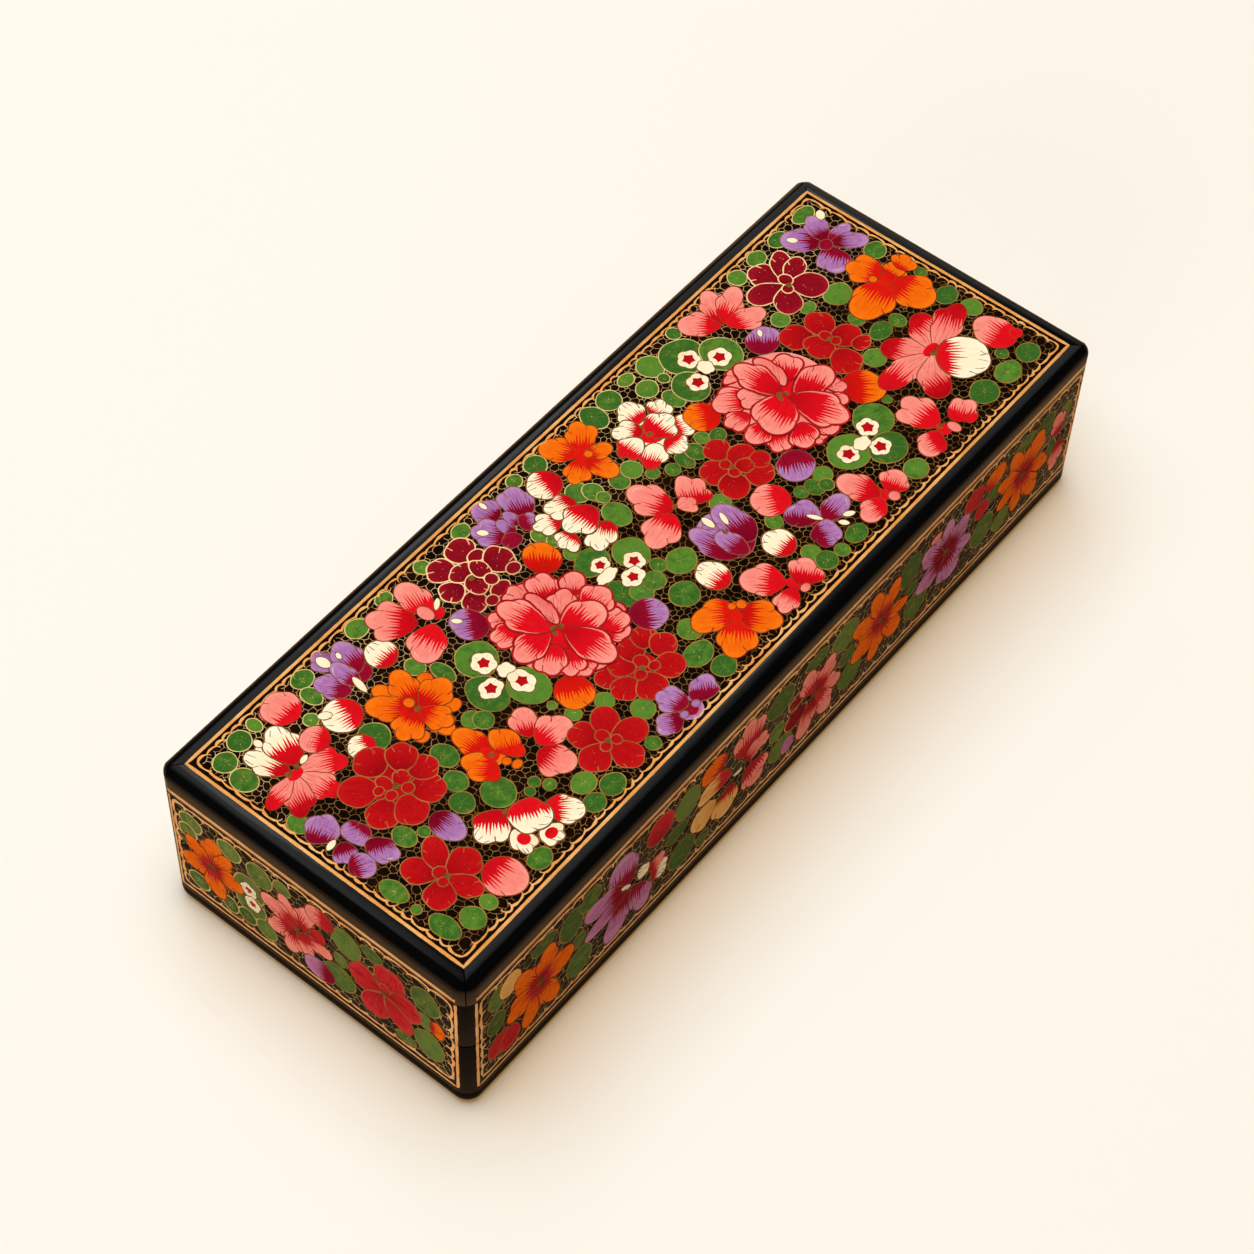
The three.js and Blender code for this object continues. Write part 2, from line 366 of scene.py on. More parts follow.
def wall_boards(body, easing_below, easing_above):
    """The four boards of the base or the lid, each cut from one rounded block."""
    rebate, inner_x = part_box(f"{body}_wall_left")[0].y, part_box(f"{body}_wall_left")[1].x
    for side in far_side:
        low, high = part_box(f"{body}_wall_{side}")
        board = add_block("board", (-half_length, -half_width, low.z), (half_length, half_width, high.z))
        round_upright_corners()
        round_rim(low.z, easing_below, easing_segments)
        round_rim(high.z, easing_above, easing_segments)
        bpy.ops.object.mode_set(mode="OBJECT")
        beyond = overshoot if side == "front" else 0
        keep = add_block("tool", (low.x - overshoot, low.y - beyond, low.z - overshoot),
                         (high.x + beyond, high.y, high.z + overshoot), editing=False)
        cut(board, keep, "INTERSECT")
        for end in (-1, 1) if side == "front" else ():
            ends = sorted((end * (half_length + overshoot), end * -inner_x))
            lap = add_block("tool", (ends[0], rebate, low.z - overshoot),
                            (ends[1], high.y + overshoot, high.z + overshoot), editing=False)
            cut(board, lap, "DIFFERENCE")
        finish_pair(board, side, f"{body}_wall_SIDE_board", f"{body}_wall_SIDE", body, "black_lacquer",
                    black_lacquer)


wall_boards("base", rim_easing, seam_easing)
wall_boards("lid", seam_easing, joint_easing)


# Mouldings. Four strips with a rounded-over shoulder, planed from one length and mitred at
# the corners. The mitres have opened a hair, and their edges are rubbed.
shoulder_width = 5.05 * MM
shoulder_drop = 3.0 * MM
shoulder_segments = 14
rounded_share = 0.995
corner_sweep = 4.3 * MM
crown_clearance = 0.02 * MM
mitre_gap = 0.25 * MM
mitre_easing = 0.14 * MM
side_frames = {"front": (half_length, half_width, 0), "left": (half_width, half_length, -math.pi / 2)}


def mitre(half, reach, back):
    """Cuts both ends of the edited strip, which faces -Y, to 45 degrees."""
    for end in (-1, 1):
        bpy.ops.mesh.select_all(action="SELECT")
        bpy.ops.mesh.bisect(plane_co=(end * (half - back), -reach, 0), use_fill=True, clear_inner=True,
                            plane_no=Vector((-end, -1, 0)).normalized())


def ease(piece, width, sharpest):
    """Rounds every edge of a piece that is sharper than an angle."""
    step = piece.modifiers.new("easing", "BEVEL")
    step.width, step.segments, step.limit_method = width, 2, "ANGLE"
    step.angle_limit = math.radians(sharpest)
    bpy.context.view_layer.objects.active = piece
    bpy.ops.object.modifier_apply(modifier=step.name)


def stretch_up(factor, level):
    bpy.ops.mesh.select_all(action="SELECT")
    bpy.ops.transform.resize(value=(1, 1, factor), center_override=(0, 0, level))


def strip_boxes(stem):
    """The box and the thickness of the front and the left strip of a ring."""
    for name in far_side:
        low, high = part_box(f"{stem}_{name}")
        yield name, low, high, (high.y - low.y) if name == "front" else (high.x - low.x)


polished_lacquer = lacquer_finish("polished_lacquer", (5, 5, 5), 0.1, 0.3, 1.4)
panel_low, panel_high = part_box("lid_top_panel")
stretch = shoulder_width / shoulder_drop
for side, low, high, depth in strip_boxes("lid_moulding"):
    half, reach, angle = side_frames[side]
    shoulder, ledge = -reach + shoulder_width, panel_low.z
    strip = add_block("strip", (-half, -reach, low.z), (half, -reach + depth, ledge))
    bpy.ops.mesh.bisect(plane_co=(0, shoulder, 0), plane_no=(0, 1, 0))
    pick("FACE", lambda co: near(co.z, ledge) and co.y < shoulder + 1e-6)
    bpy.ops.mesh.extrude_region_move(TRANSFORM_OT_translate={"value": (0, 0, high.z - ledge)})
    stretch_up(stretch, high.z)
    pick("EDGE", lambda co: near(co.z, high.z) and near(co.y, -reach))
    bevel(shoulder_width * rounded_share, shoulder_segments)
    stretch_up(1 / stretch, high.z)
    mitre(half, reach, mitre_gap * math.sqrt(0.5))
    weld()
    bpy.ops.object.mode_set(mode="OBJECT")
    strip.data.transform(Matrix.Rotation(angle, 4, "Z"))

    crown = high.z + crown_clearance
    rounded = add_block("tool", (-half_length, -half_width, low.z - corner_radius),
                        (half_length, half_width, crown))
    round_upright_corners()
    stretch_up(stretch, crown)
    round_rim(crown, corner_sweep * stretch * shoulder_drop / shoulder_width, shoulder_segments)
    stretch_up(1 / stretch, crown)
    bpy.ops.object.mode_set(mode="OBJECT")
    cut(strip, rounded, "INTERSECT")
    ease(strip, mitre_easing, sharpest=42)
    finish_pair(strip, side, "lid_SIDE_moulding", "lid_moulding_SIDE", "lid", "black_lacquer",
                polished_lacquer)


# Top panel. A flat board dropped in between the mouldings onto their ledges, with a near-black
# brown ground under its painting.
panel_easing = 0.1 * MM
painted_ground, wire = new_finish("painted_ground", IOR=1.05)
base = wire.noise(220.0, detail=4.0).between(0.35, 0.7).mix(tint(13, 6, 2), tint(32, 15, 5))
feed(painted_ground, base, 0.26 + 0.1 * wire.noise(700.0), wire.noise(500.0), 0.2, 0.1 * MM)
panel = add_block("top_panel_board", panel_low, panel_high)
bevel(panel_easing, 2)
leave_edit(panel)
finished(panel, "lid", "painted_top", painted_ground, "lid_top_panel")


# Collar. Four thin strips of lacquered wood inside the base, mitred and chamfered on top.
# The lid slides down over them.
collar_lead = 0.8 * MM
collar_easing = 0.2 * MM
collar_brown = lacquer_finish("collar_lacquer", (38, 24, 19), 0.28, 0.5)
for side, low, high, thickness in strip_boxes("collar"):
    half, reach = (high.x, -low.y) if side == "front" else (high.y, -low.x)
    strip = add_block("strip", (-half, -reach, low.z), (half, -reach + thickness, high.z))
    pick("EDGE", lambda co: near(co.z, high.z) and near(co.y, -reach))
    bevel(collar_lead, 1)
    mitre(half, reach, 0)
    bpy.ops.object.mode_set(mode="OBJECT")
    strip.data.transform(Matrix.Rotation(side_frames[side][2], 4, "Z"))
    ease(strip, collar_easing, sharpest=30)
    finish_pair(strip, side, "collar_SIDE_strip", "collar_SIDE", "base", "collar_lacquer", collar_brown)


# Linings. Dark red felt glued into the base and under the lid's panel, with a soft nap.
lining_easing = 0.3 * MM
felt, wire = new_finish("felt", Specular_IOR_Level=0.2, Sheen_Weight=0.5, Sheen_Roughness=0.5,
                        Sheen_Tint=tint(190, 90, 90))
fibres = wire.noise(2600.0, detail=6.0, roughness=0.75)
cloud = wire.noise(90.0, detail=2.0)
base = (0.6 * fibres + 0.4 * cloud).between(0.35, 0.65).mix(tint(62, 14, 20), tint(104, 28, 36))
feed(felt, base, 0.85 + 0.12 * fibres, fibres + 0.6 * cloud, 0.8, 0.4 * MM)
for body in ("base", "lid"):
    sheet = add_block(f"{body}_lining_felt", *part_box(f"{body}_lining"))
    bevel(lining_easing, 3)
    leave_edit(sheet)
    finished(sheet, body, "felt_lining", felt, f"{body}_lining")


# Brads. Headless steel pins driven through the corner laps and up through the bottom board,
# then filled over, so they show only when the box is taken apart.
steel, wire = new_finish("steel_brad", Metallic=1.0)
drawn = wire.noise(1500.0, detail=4.0)
feed(steel, drawn.between(0.3, 0.7).mix(tint(120, 118, 116), tint(176, 176, 178)), 0.32 + 0.2 * drawn,
     drawn, 0.3, 0.05 * MM)
for name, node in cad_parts.items():
    if "_brad_" in name:
        node.data.materials.clear()
        node.data.materials.append(steel)


# Painting. Flowers and leaves in thin layers of body colour on the black ground, each shape
# outlined with a fine brush in bronze or brown. Every colour is one coat on the lid or the base.
paint_step = 0.024 * MM
net_crest = 0.035 * MM
first_fill = 0.042 * MM
flame_rise = 0.008 * MM
line_rise = 0.016 * MM
line_crest = 0.07 * MM
sunk = 0.02 * MM
endless = 999
seam_low, seam_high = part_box("base_wall_front")[1].z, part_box("lid_wall_front")[0].z
seam_middle, seam_gap = (seam_low + seam_high) / 2, seam_high - seam_low


def rounded_off(past, radius):
    """How far a rounded edge has fallen away, past the line where it starts to curve."""
    return radius - math.sqrt(max(radius ** 2 - max(past, 0) ** 2, 0))


class Face:
    """A painted side of the box: its own flat axes, and the bodies that carry its parts."""

    def __init__(self, origin, across, up, half, parts):
        self.origin, self.across, self.up = Vector(origin), Vector(across), Vector(up)
        self.out = self.across.cross(self.up)
        self.half = half
        self.parts = parts

    def bands(self):
        """The painted parts, each with the heights that it is cut at to follow the seam's edges."""
        for part in self.parts:
            for bottom, top in zip(part["cuts"], part["cuts"][1:]):
                yield part, bottom, top

    def place(self, point, rise):
        """A point of the painting in space. Beyond the flat it follows the rounded corner."""
        u, v = point[0] * MM, point[1] * MM
        if self.half:
            rise -= rounded_off(abs(u) - (self.half - corner_radius), corner_radius)
            rise -= rounded_off(seam_easing - abs(v - seam_middle) + seam_gap / 2, seam_easing)
        return self.origin + self.across * u + self.up * v + self.out * rise


class Coat:
    """All the shapes of one colour on one body, gathered into one mesh."""

    def __init__(self):
        self.points, self.faces, self.petals, self.tones = [], [], [], []

    def add(self, points, faces, petals, tone):
        start = len(self.points)
        self.points += points
        self.faces += [[start + corner for corner in face] for face in faces]
        self.petals += petals
        self.tones += [tone] * len(points)


def sides_of(outline):
    """The sides of a closed outline, as pairs of points."""
    return zip(outline[-1:] + outline[:-1], outline)


def part_way(start, end, share):
    return start[0] + (end[0] - start[0]) * share, start[1] + (end[1] - start[1]) * share


def bowed(start, end, share, bow):
    """A point on the way from start to end, which bows to the left."""
    dx, dy = end[0] - start[0], end[1] - start[1]
    lean = 4 * share * (1 - share) * bow
    return start[0] + dx * share - dy * lean, start[1] + dy * share + dx * lean


def clip(outline, sign, level):
    """The part of an outline whose height is above (sign 1) or below (sign -1) a level."""
    kept = []
    for start, end in sides_of(outline):
        before, after = (start[1] - level) * sign, (end[1] - level) * sign
        if before * after < 0:
            kept.append((part_way(start, end, before / (before - after))[0], level))
        if after >= 0:
            kept.append(end)
    return kept


def stretches(path, closed, low, high):
    """The runs of a path that lie between two heights, as (points, closed)."""
    if all(low <= y <= high for _, y in path):
        return [(path, closed)]
    runs = [[]]
    points = path + path[:1] if closed else path
    for start, end in zip(points, points[1:]):
        entry, leave = 0.0, 1.0
        for sign, level in ((1, low), (-1, high)):
            before, after = (start[1] - level) * sign, (end[1] - level) * sign
            if before < 0 and after < 0:
                entry, leave = 1.0, 0.0
            elif before < 0:
                entry = max(entry, before / (before - after))
            elif after < 0:
                leave = min(leave, before / (before - after))
        if entry < leave:
            runs[-1] += ([] if runs[-1] else [part_way(start, end, entry)]) + [part_way(start, end, leave)]
        if entry >= leave or leave < 1:
            runs.append([])
    return [(run, False) for run in runs if len(run) > 1]


def inside(point, outline):
    x, y = point
    hit = False
    for (x0, y0), (x1, y1) in sides_of(outline):
        if (y0 > y) != (y1 > y) and x < (x1 - x0) * (y - y0) / (y1 - y0) + x0:
            hit = not hit
    return hit


def stepped(path, closed):
    """The path with points added, so that it can follow a curved face."""
    points = path + path[:1] if closed else path
    filled = [points[0]]
    for (x0, y0), (x1, y1) in zip(points, points[1:]):
        parts = max(1, math.ceil(math.dist((x0, y0), (x1, y1)) / longest_step))
        filled += [(x0 + (x1 - x0) * k / parts, y0 + (y1 - y0) * k / parts) for k in range(1, parts + 1)]
    return filled[:-1] if closed else filled


# Brush. It lays closed sheets of paint, and lines as low ridges with a rounded section, each
# above what it overlaps. Shapes that cross the seam are cut there, one part for each body.
longest_step = 1.6
thin_section = ((1, 0), (0, 1), (-1, 0))
wide_section = ((1, 0), (0.82, 0.7), (0.4, 1), (-0.4, 1), (-0.82, 0.7), (-1, 0))
widest_thin_line = 0.6
quick_wave, slow_wave = 2.1, 0.83


class Brush:
    """Lays shapes and lines on one face, each above what it overlaps."""

    def __init__(self, face, swaps, weight):
        self.face = face
        self.swaps = swaps
        self.weight = weight
        self.covered = []

    def level(self, outline):
        """The height of a new shape's top, one step above the highest that it overlaps."""
        xs, ys = [x for x, _ in outline], [y for _, y in outline]
        box = (min(xs), max(xs), min(ys), max(ys))
        height = 0
        for (x0, x1, y0, y1), under, other in self.covered:
            if under >= height and x0 < box[1] and box[0] < x1 and y0 < box[3] and box[2] < y1:
                if any(inside(p, other) for p in outline[::2]) or any(inside(p, outline) for p in other[::2]):
                    height = under + 1
        self.covered.append((box, height, outline))
        return first_fill + paint_step * height

    def coat(self, colour, part):
        colour = self.swaps.get(colour, colour)
        return coats.setdefault((part["stem"], colour, part["body"]), Coat())

    def fill(self, colour, outline, rise, petal, tone=0.5, low=-sunk):
        """A flat closed sheet of paint inside an outline, between two heights."""
        area = sum(x0 * y1 - x1 * y0 for (x0, y0), (x1, y1) in sides_of(outline))
        outline = outline if area > 0 else outline[::-1]
        for part, bottom, top in self.face.bands():
            edge = clip(clip(outline, 1, bottom), -1, top)
            count = len(edge)
            if count < 3:
                continue
            points = [self.face.place(point, height) for height in (low, rise) for point in edge]
            faces = [list(range(count))[::-1], list(range(count, 2 * count))]
            faces += [[i, (i + 1) % count, (i + 1) % count + count, i + count] for i in range(count)]
            self.coat(colour, part).add(points, faces, [petal(point) for point in edge] * 2, tone)

    def line(self, colour, path, width, rise=0.0, lift=line_rise, tone=0.5, swell=0.12, closed=False):
        """A brush line on paint of some height: a ridge whose width swells along the way."""
        section = wide_section if width > widest_thin_line else thin_section
        width *= self.weight if width < widest_thin_line else 1
        for part, bottom, top in self.face.bands():
            for run, whole in stretches(stepped(path, closed), closed, bottom, top):
                run = [p for i, p in enumerate(run) if i == 0 or math.dist(p, run[i - 1]) > 1e-4]
                if len(run) > 1:
                    points = self.ridge(run, whole, section, width, rise - sunk, rise + lift, swell)
                    faces = ridge_faces(len(run), len(section), whole)
                    self.coat(colour, part).add(points, faces, [(0, 0)] * len(points), tone)

    def ridge(self, run, closed, section, width, low, high, swell):
        points, travel, count = [], run[0][0] * 0.7 + run[0][1], len(run)
        for i, (x, y) in enumerate(run):
            before = run[i - 1] if closed or i else run[i]
            after = run[(i + 1) % count] if closed or i + 1 < count else run[i]
            ahead = Vector((after[0] - before[0], after[1] - before[1]))
            ahead = ahead.normalized() if ahead.length > 1e-6 else Vector((1, 0))
            half = width / 2 * (1 + swell * math.sin(travel * quick_wave)
                                + swell * math.sin(travel * slow_wave))
            travel += math.dist((x, y), after)
            for offset, lift in section:
                spot = (x - ahead.y * half * offset, y + ahead.x * half * offset)
                points.append(self.face.place(spot, low + (high - low) * lift))
        return points


def ridge_faces(count, across, closed):
    """The faces of a ridge of so many sections, with an end cap on each end of an open one."""
    faces = []
    for i in range(count if closed else count - 1):
        a, b = across * i, across * ((i + 1) % count)
        faces += [[a + k, a + k + 1, b + k + 1, b + k] for k in range(across - 1)]
        faces.append([a + across - 1, a, b, b + across - 1])
    if not closed:
        end = across * (count - 1)
        faces += [[0, *range(across - 1, 0, -1)], list(range(end, end + across))]
    return faces


# Petals. Each is an oval drawn in towards its root, with a fringe of red strokes from there,
# an outline, and a few last touches. All its marks are placed along and aside from its axis.
small_petal, small_corners, petal_corners = 4, 20, 36
lobe_counts, lobe_shift, lobe_middle, free_end = (3, 4, 5), 0.3, 0.55, 0.35
wobble, pinch_curve = 0.012, 2.2
tooth_length, long_teeth, short_teeth, tooth_sway, tooth_fan = 0.36, (0.45, 1.15), (-0.15, 0.12), 0.16, 0.5
finest_tooth, widest_tooth, teeth_across = 0.5, 0.85, 12
flame_share, flame_inset, rooted_share = 0.85, 0.99, 1.15
blade_line, blade_length, blade_width = 0.26, 1.2, 0.85
bud_pinch, open_pinch, spray_pinch, rooted_pinch = 0.05, 0.26, 0.42, 0.62
bud_raggedness, plain_raggedness = 0.07, 0.08
notch_line, fold_line, speck_line = 0.46, 0.36, 0.2
petal_growth = 1.07
kind_growth = {"red": 1.02, "maroon": 1.06}
patch_sizes = (1.5, 0.95)
even_ring, lopsided_ring = 1.8, 0.25
highlight_odds, fold_places = 0.4, (-0.42, 0.02, 0.4)


class Axes:
    """Axes of a petal: along, towards its root at a bearing in degrees, and aside from that."""

    def __init__(self, x, y, bearing):
        self.x, self.y = x, y
        self.cos, self.sin = math.cos(math.radians(bearing)), math.sin(math.radians(bearing))

    def inward(self, dx, dy):
        return dx * self.cos + dy * self.sin, dy * self.cos - dx * self.sin

    def local(self, point):
        return self.inward(point[0] - self.x, point[1] - self.y)

    def page(self, along, aside):
        return self.x + along * self.cos - aside * self.sin, self.y + along * self.sin + aside * self.cos

    def extents(self, wide, high):
        """Half the length of an upright oval along the axis, and half its width across it."""
        return (math.hypot(wide / 2 * self.cos, high / 2 * self.sin),
                math.hypot(wide / 2 * self.sin, high / 2 * self.cos))


def oval(x, y, wide, high, root, pinch, ragged, count, along_axis=False):
    """A petal's outline: drawn in towards its root, and cut into shallow lobes at its free end."""
    axes = Axes(x, y, root)
    reach = wide / 2 if along_axis else axes.extents(wide, high)[0]
    rng = random.Random(x * 1.7 + y * 2.3)
    lobes, shift = rng.choice(lobe_counts), rng.uniform(-lobe_shift, lobe_shift)
    outline = []
    for step in range(count):
        angle = 2 * math.pi * step / count
        dx, dy = wide / 2 * math.cos(angle), high / 2 * math.sin(angle)
        along, aside = (dx, dy) if along_axis else axes.inward(dx, dy)
        bearing = math.atan2(aside, -along) + shift
        free = max(0.0, free_end - along / reach) ** 0.5
        swell = 1 + ragged * free * (abs(math.cos(lobes * bearing / 2)) - lobe_middle)
        swell += wobble * math.sin(3 * angle + x)
        along, aside = along * swell, aside * swell
        aside *= 1 - pinch * max(0.0, (1 + along / reach) / 2) ** pinch_curve
        outline.append(axes.page(along, aside))
    return outline


def petal_map(x, y, wide, high, fire):
    """Turns a place on a petal into its share along and across the stroke of its brush marks."""
    axes = Axes(x, y, fire)
    reach, spread = axes.extents(wide, high)

    def mapped(point):
        along, aside = axes.local(point)
        return along / reach, aside / spread
    return mapped


def flame(outline, x, y, fire, share, tooth, narrow):
    """The part of a petal on its fire side, whose other edge is drawn out into long teeth."""
    axes = Axes(x, y, fire)
    local = [(along, aside * narrow) for along, aside in map(axes.local, outline)]
    top, bottom = max(along for along, _ in local), min(along for along, _ in local)
    cut, count = top - share * (top - bottom), len(local)
    first = next(i for i in range(count) if local[i][0] > cut >= local[i - 1][0])
    edge = []
    for i in range(first, first + count):
        before, here = local[(i - 1) % count], local[i % count]
        if (before[0] > cut) != (here[0] > cut):
            part = (cut - before[0]) / (here[0] - before[0])
            edge.append((cut, before[1] + (here[1] - before[1]) * part))
            if before[0] > cut:
                break
        if here[0] > cut:
            edge.append(here)
    start, end = edge[-1][1], edge[0][1]
    teeth = max(3, round(abs(end - start) / tooth))
    rng = random.Random(x * 3.1 + y * 7.7)
    for step in range(1, 2 * teeth):
        across, is_tip = step / (2 * teeth), step % 2
        arch = math.sqrt(max(0.0, 1 - (2 * across - 1) ** 4))
        reach = rng.uniform(*(long_teeth if is_tip else short_teeth))
        depth = (top - bottom) * tooth_length * arch * reach
        fan = 1 + tooth_fan * depth / max(top + 0.5 * (top - bottom) - cut, 0.1)
        sway = rng.uniform(-tooth_sway, tooth_sway) * tooth
        along, aside = cut - depth, (start + (end - start) * across + sway) * (fan if is_tip else 1)
        for _ in range(12):
            if inside((along, aside), local):
                break
            along, aside = along + 0.04 * (top - bottom), aside * 0.94
        edge.append((along, aside))
    return [axes.page(along, aside) for along, aside in edge]


# What each kind of petal is painted with: fill, flame, outline and its width, and streaks. Then how
# ragged the petals' free ends are, and their last touches: a painted highlight, or gold specks.
petal_kinds = {
    "pink": ("pink", "scarlet", "russet", 0.38, "ruby"), "cream": ("cream", "scarlet", "bronze", 0.52, None),
    "orange": ("orange", "vermilion", "russet", 0.38, "russet"),
    "lavender": ("lavender", "plum", "mauve", 0.36, "plum"),
    "red": ("crimson", None, "copper", 0.38, "maroon"), "maroon": ("maroon", None, "gilt", 0.46, None),
    "apricot": ("apricot", "scarlet", "bronze", 0.34, "russet"),
    "rose": ("pink", "scarlet", "ruby", 0.62, "maroon"), "plum": ("plum", None, "mauve", 0.3, None),
    "spot": ("scarlet", None, None, 0, None), "blood": ("scarlet", None, "russet", 0.3, None),
    "ember": ("vermilion", None, None, 0, None), "seed": ("umber", None, None, 0, None)}
raggedness = {"pink": 0.28, "cream": 0.26, "orange": 0.24, "lavender": 0.2, "apricot": 0.16}
touches = {"pink": "blush", "rose": "blush", "lavender": "cream", "red": "speck", "maroon": "speck"}

# Strokes from a petal's root: how many, the shortest and the longest as shares of it, and their width.
plain_strokes, rose_strokes, ruby_strokes = (3, 0.6, 1.0, 0.16), (4, 0.35, 0.8, 0.28), (5, 0.8, 1.35, 0.17)


def drawn_to_heart(centre, x, y, wide, high):
    """A petal's middle and its size along and across, once its root is drawn out to the heart."""
    away = (Vector((x, y)) - Vector(centre)).normalized()
    reach = math.hypot(wide / 2 * away.x, high / 2 * away.y)
    spread = math.hypot(wide / 2 * away.y, high / 2 * away.x)
    distance = math.dist((x, y), centre)
    outer = distance + reach
    inner = min(distance - reach, 0.1 * outer)
    middle = Vector(centre) + away * (outer + inner) / 2
    return middle.x, middle.y, outer - inner, 2 * spread


def paint_blade(brush, x, y, wide, high, root):
    """A slim cream stroke, pointed at both ends, on the folded edge of a petal."""
    axes, length, width = Axes(x, y, root), blade_length * max(wide, high), blade_width * min(wide, high)
    outline = []
    for step in range(20):
        angle = math.pi * step / 10
        aside = width / 2 * math.sin(angle) * abs(math.sin(angle)) ** 0.25
        outline.append(axes.page(length / 2 * math.cos(angle), aside))
    rise = brush.level(outline)
    brush.fill("cream", outline, rise, petal_map(x, y, length, length, root))
    brush.line("bronze", outline, blade_line, rise, closed=True)


def paint_petal(brush, kind, centre, x, y, wide, high, fire=None, share=0.3, pinch=open_pinch,
                ragged=None, narrow=1.0, grow=petal_growth, rooted=False, burn=1.0):
    """A petal. Its flame starts from its root, or from the bearing given by fire."""
    root = math.degrees(math.atan2(centre[1] - y, centre[0] - x))
    if kind == "bead":
        paint_blade(brush, x, y, wide, high, root)
        return
    colour, fire_colour, line_colour, line_width, streak = petal_kinds[kind]
    ragged = raggedness.get(kind, plain_raggedness) if ragged is None else ragged
    fire = root if fire is None else fire
    share *= burn
    small = min(wide, high) < small_petal
    if small:
        grow, pinch, ragged, rooted = 1, 0, 0, False
    if rooted:
        x, y, wide, high = drawn_to_heart(centre, x, y, wide, high)
        pinch, share = rooted_pinch, share * rooted_share
    outline = oval(x, y, wide * grow, high * grow, root, pinch, ragged,
                   small_corners if small else petal_corners, rooted)
    rise = brush.level(outline)
    tone = random.Random(x + 2.7 * y).random()
    mapped = petal_map(x, y, wide, high, fire)
    brush.fill(colour, outline, rise, mapped, tone)
    if fire_colour and share > 0:
        tooth = min(widest_tooth, max(finest_tooth, min(wide, high) / teeth_across))
        inner = [part_way((x, y), point, flame_inset) for point in outline]
        edge = flame(inner, x, y, fire, share * flame_share, tooth, narrow)
        brush.fill(fire_colour, edge, rise + flame_rise, mapped, tone, rise - 0.5 * flame_rise)
    if line_colour:
        brush.line(line_colour, outline, line_width, rise, tone=tone, closed=True)
    if line_colour and not small:
        add_touches(brush, kind, streak, outline, Axes(x, y, root), tone, rise)
        base = part_way((x, y), centre, 0.6)
        for notch in notches(outline, Axes(x, y, root)):
            path = [bowed(notch, base, length, 0.1) for length in (0, 0.1, 0.2)]
            brush.line(line_colour, path, notch_line, rise, tone=tone, swell=0.25)


def notches(outline, axes):
    """The corners at a petal's free end where its outline turns inwards most."""
    count, bends = len(outline), []
    for i, (x, y) in enumerate(outline):
        (x0, y0), (x1, y1) = outline[i - 1], outline[(i + 1) % count]
        bends.append((x - x0) * (y1 - y) - (y - y0) * (x1 - x))
    return [point for i, point in enumerate(outline) if axes.local(point)[0] < 0
            and bends[i] < 0 and bends[i] <= min(bends[i - 1], bends[(i + 1) % count])]


def add_touches(brush, kind, streak, outline, axes, tone, rise):
    """The last touches on a petal: a pale dab near its free end that is a painted highlight, gold specks, or
    a fold line.
    """
    rng = random.Random(axes.x * 4.1 + axes.y * 2.9)
    touch, local = touches.get(kind), [axes.local(point) for point in outline]
    reach, spread = max(abs(along) for along, _ in local), max(abs(aside) for _, aside in local)

    def at(along, aside):
        return axes.page(along * reach, aside * spread)
    # The pale dab along the free end is a painted highlight, in pale pink or in cream.
    if touch in ("blush", "cream") and rng.random() < highlight_odds:
        free = min(range(len(local)), key=lambda i: local[i][0])
        start = free + rng.randint(-5, 1)
        path = [part_way((axes.x, axes.y), outline[i % len(outline)], 0.8)
                for i in range(start, start + rng.randint(3, 5))]
        brush.line(touch, path, rng.uniform(0.25, 0.4), rise, 0.5 * line_rise, tone, 0.3)
    if touch == "speck":
        for _ in range(rng.randint(2, 4)):
            along, aside = rng.uniform(-0.6, 0.5), rng.uniform(-0.5, 0.5)
            path = [at(along, aside), at(along + 0.06, aside + 0.03)]
            brush.line("gilt", path, speck_line, rise, 0.5 * line_rise, tone)
    if kind == "cream":
        for aside in fold_places:
            aside += rng.uniform(-0.08, 0.08)
            path = [at(-0.93 + 0.4 * aside ** 2, aside * 0.7), at(-0.75, aside * 0.85),
                    at(rng.uniform(-0.65, -0.45), aside)]
            brush.line("bronze", path, fold_line, rise, tone=tone, swell=0.25)
    strokes = [(streak, *plain_strokes)] if streak else []
    if kind == "rose":
        strokes = [(streak, *rose_strokes), ("ruby", *ruby_strokes)]
    for colour, count, shortest, longest, width in strokes:
        for number in range(count):
            aside = (number + 0.5) / count * 1.2 - 0.6 + rng.uniform(-0.08, 0.08)
            length = rng.uniform(shortest, longest)
            path = [at(0.82 - length * k / 3, aside * (0.4 + 0.4 * k / 3)) for k in range(4)]
            lift = flame_rise + 0.3 * line_rise
            brush.line(colour, path, width * rng.uniform(0.8, 1.2), rise, lift, tone, 0.3)


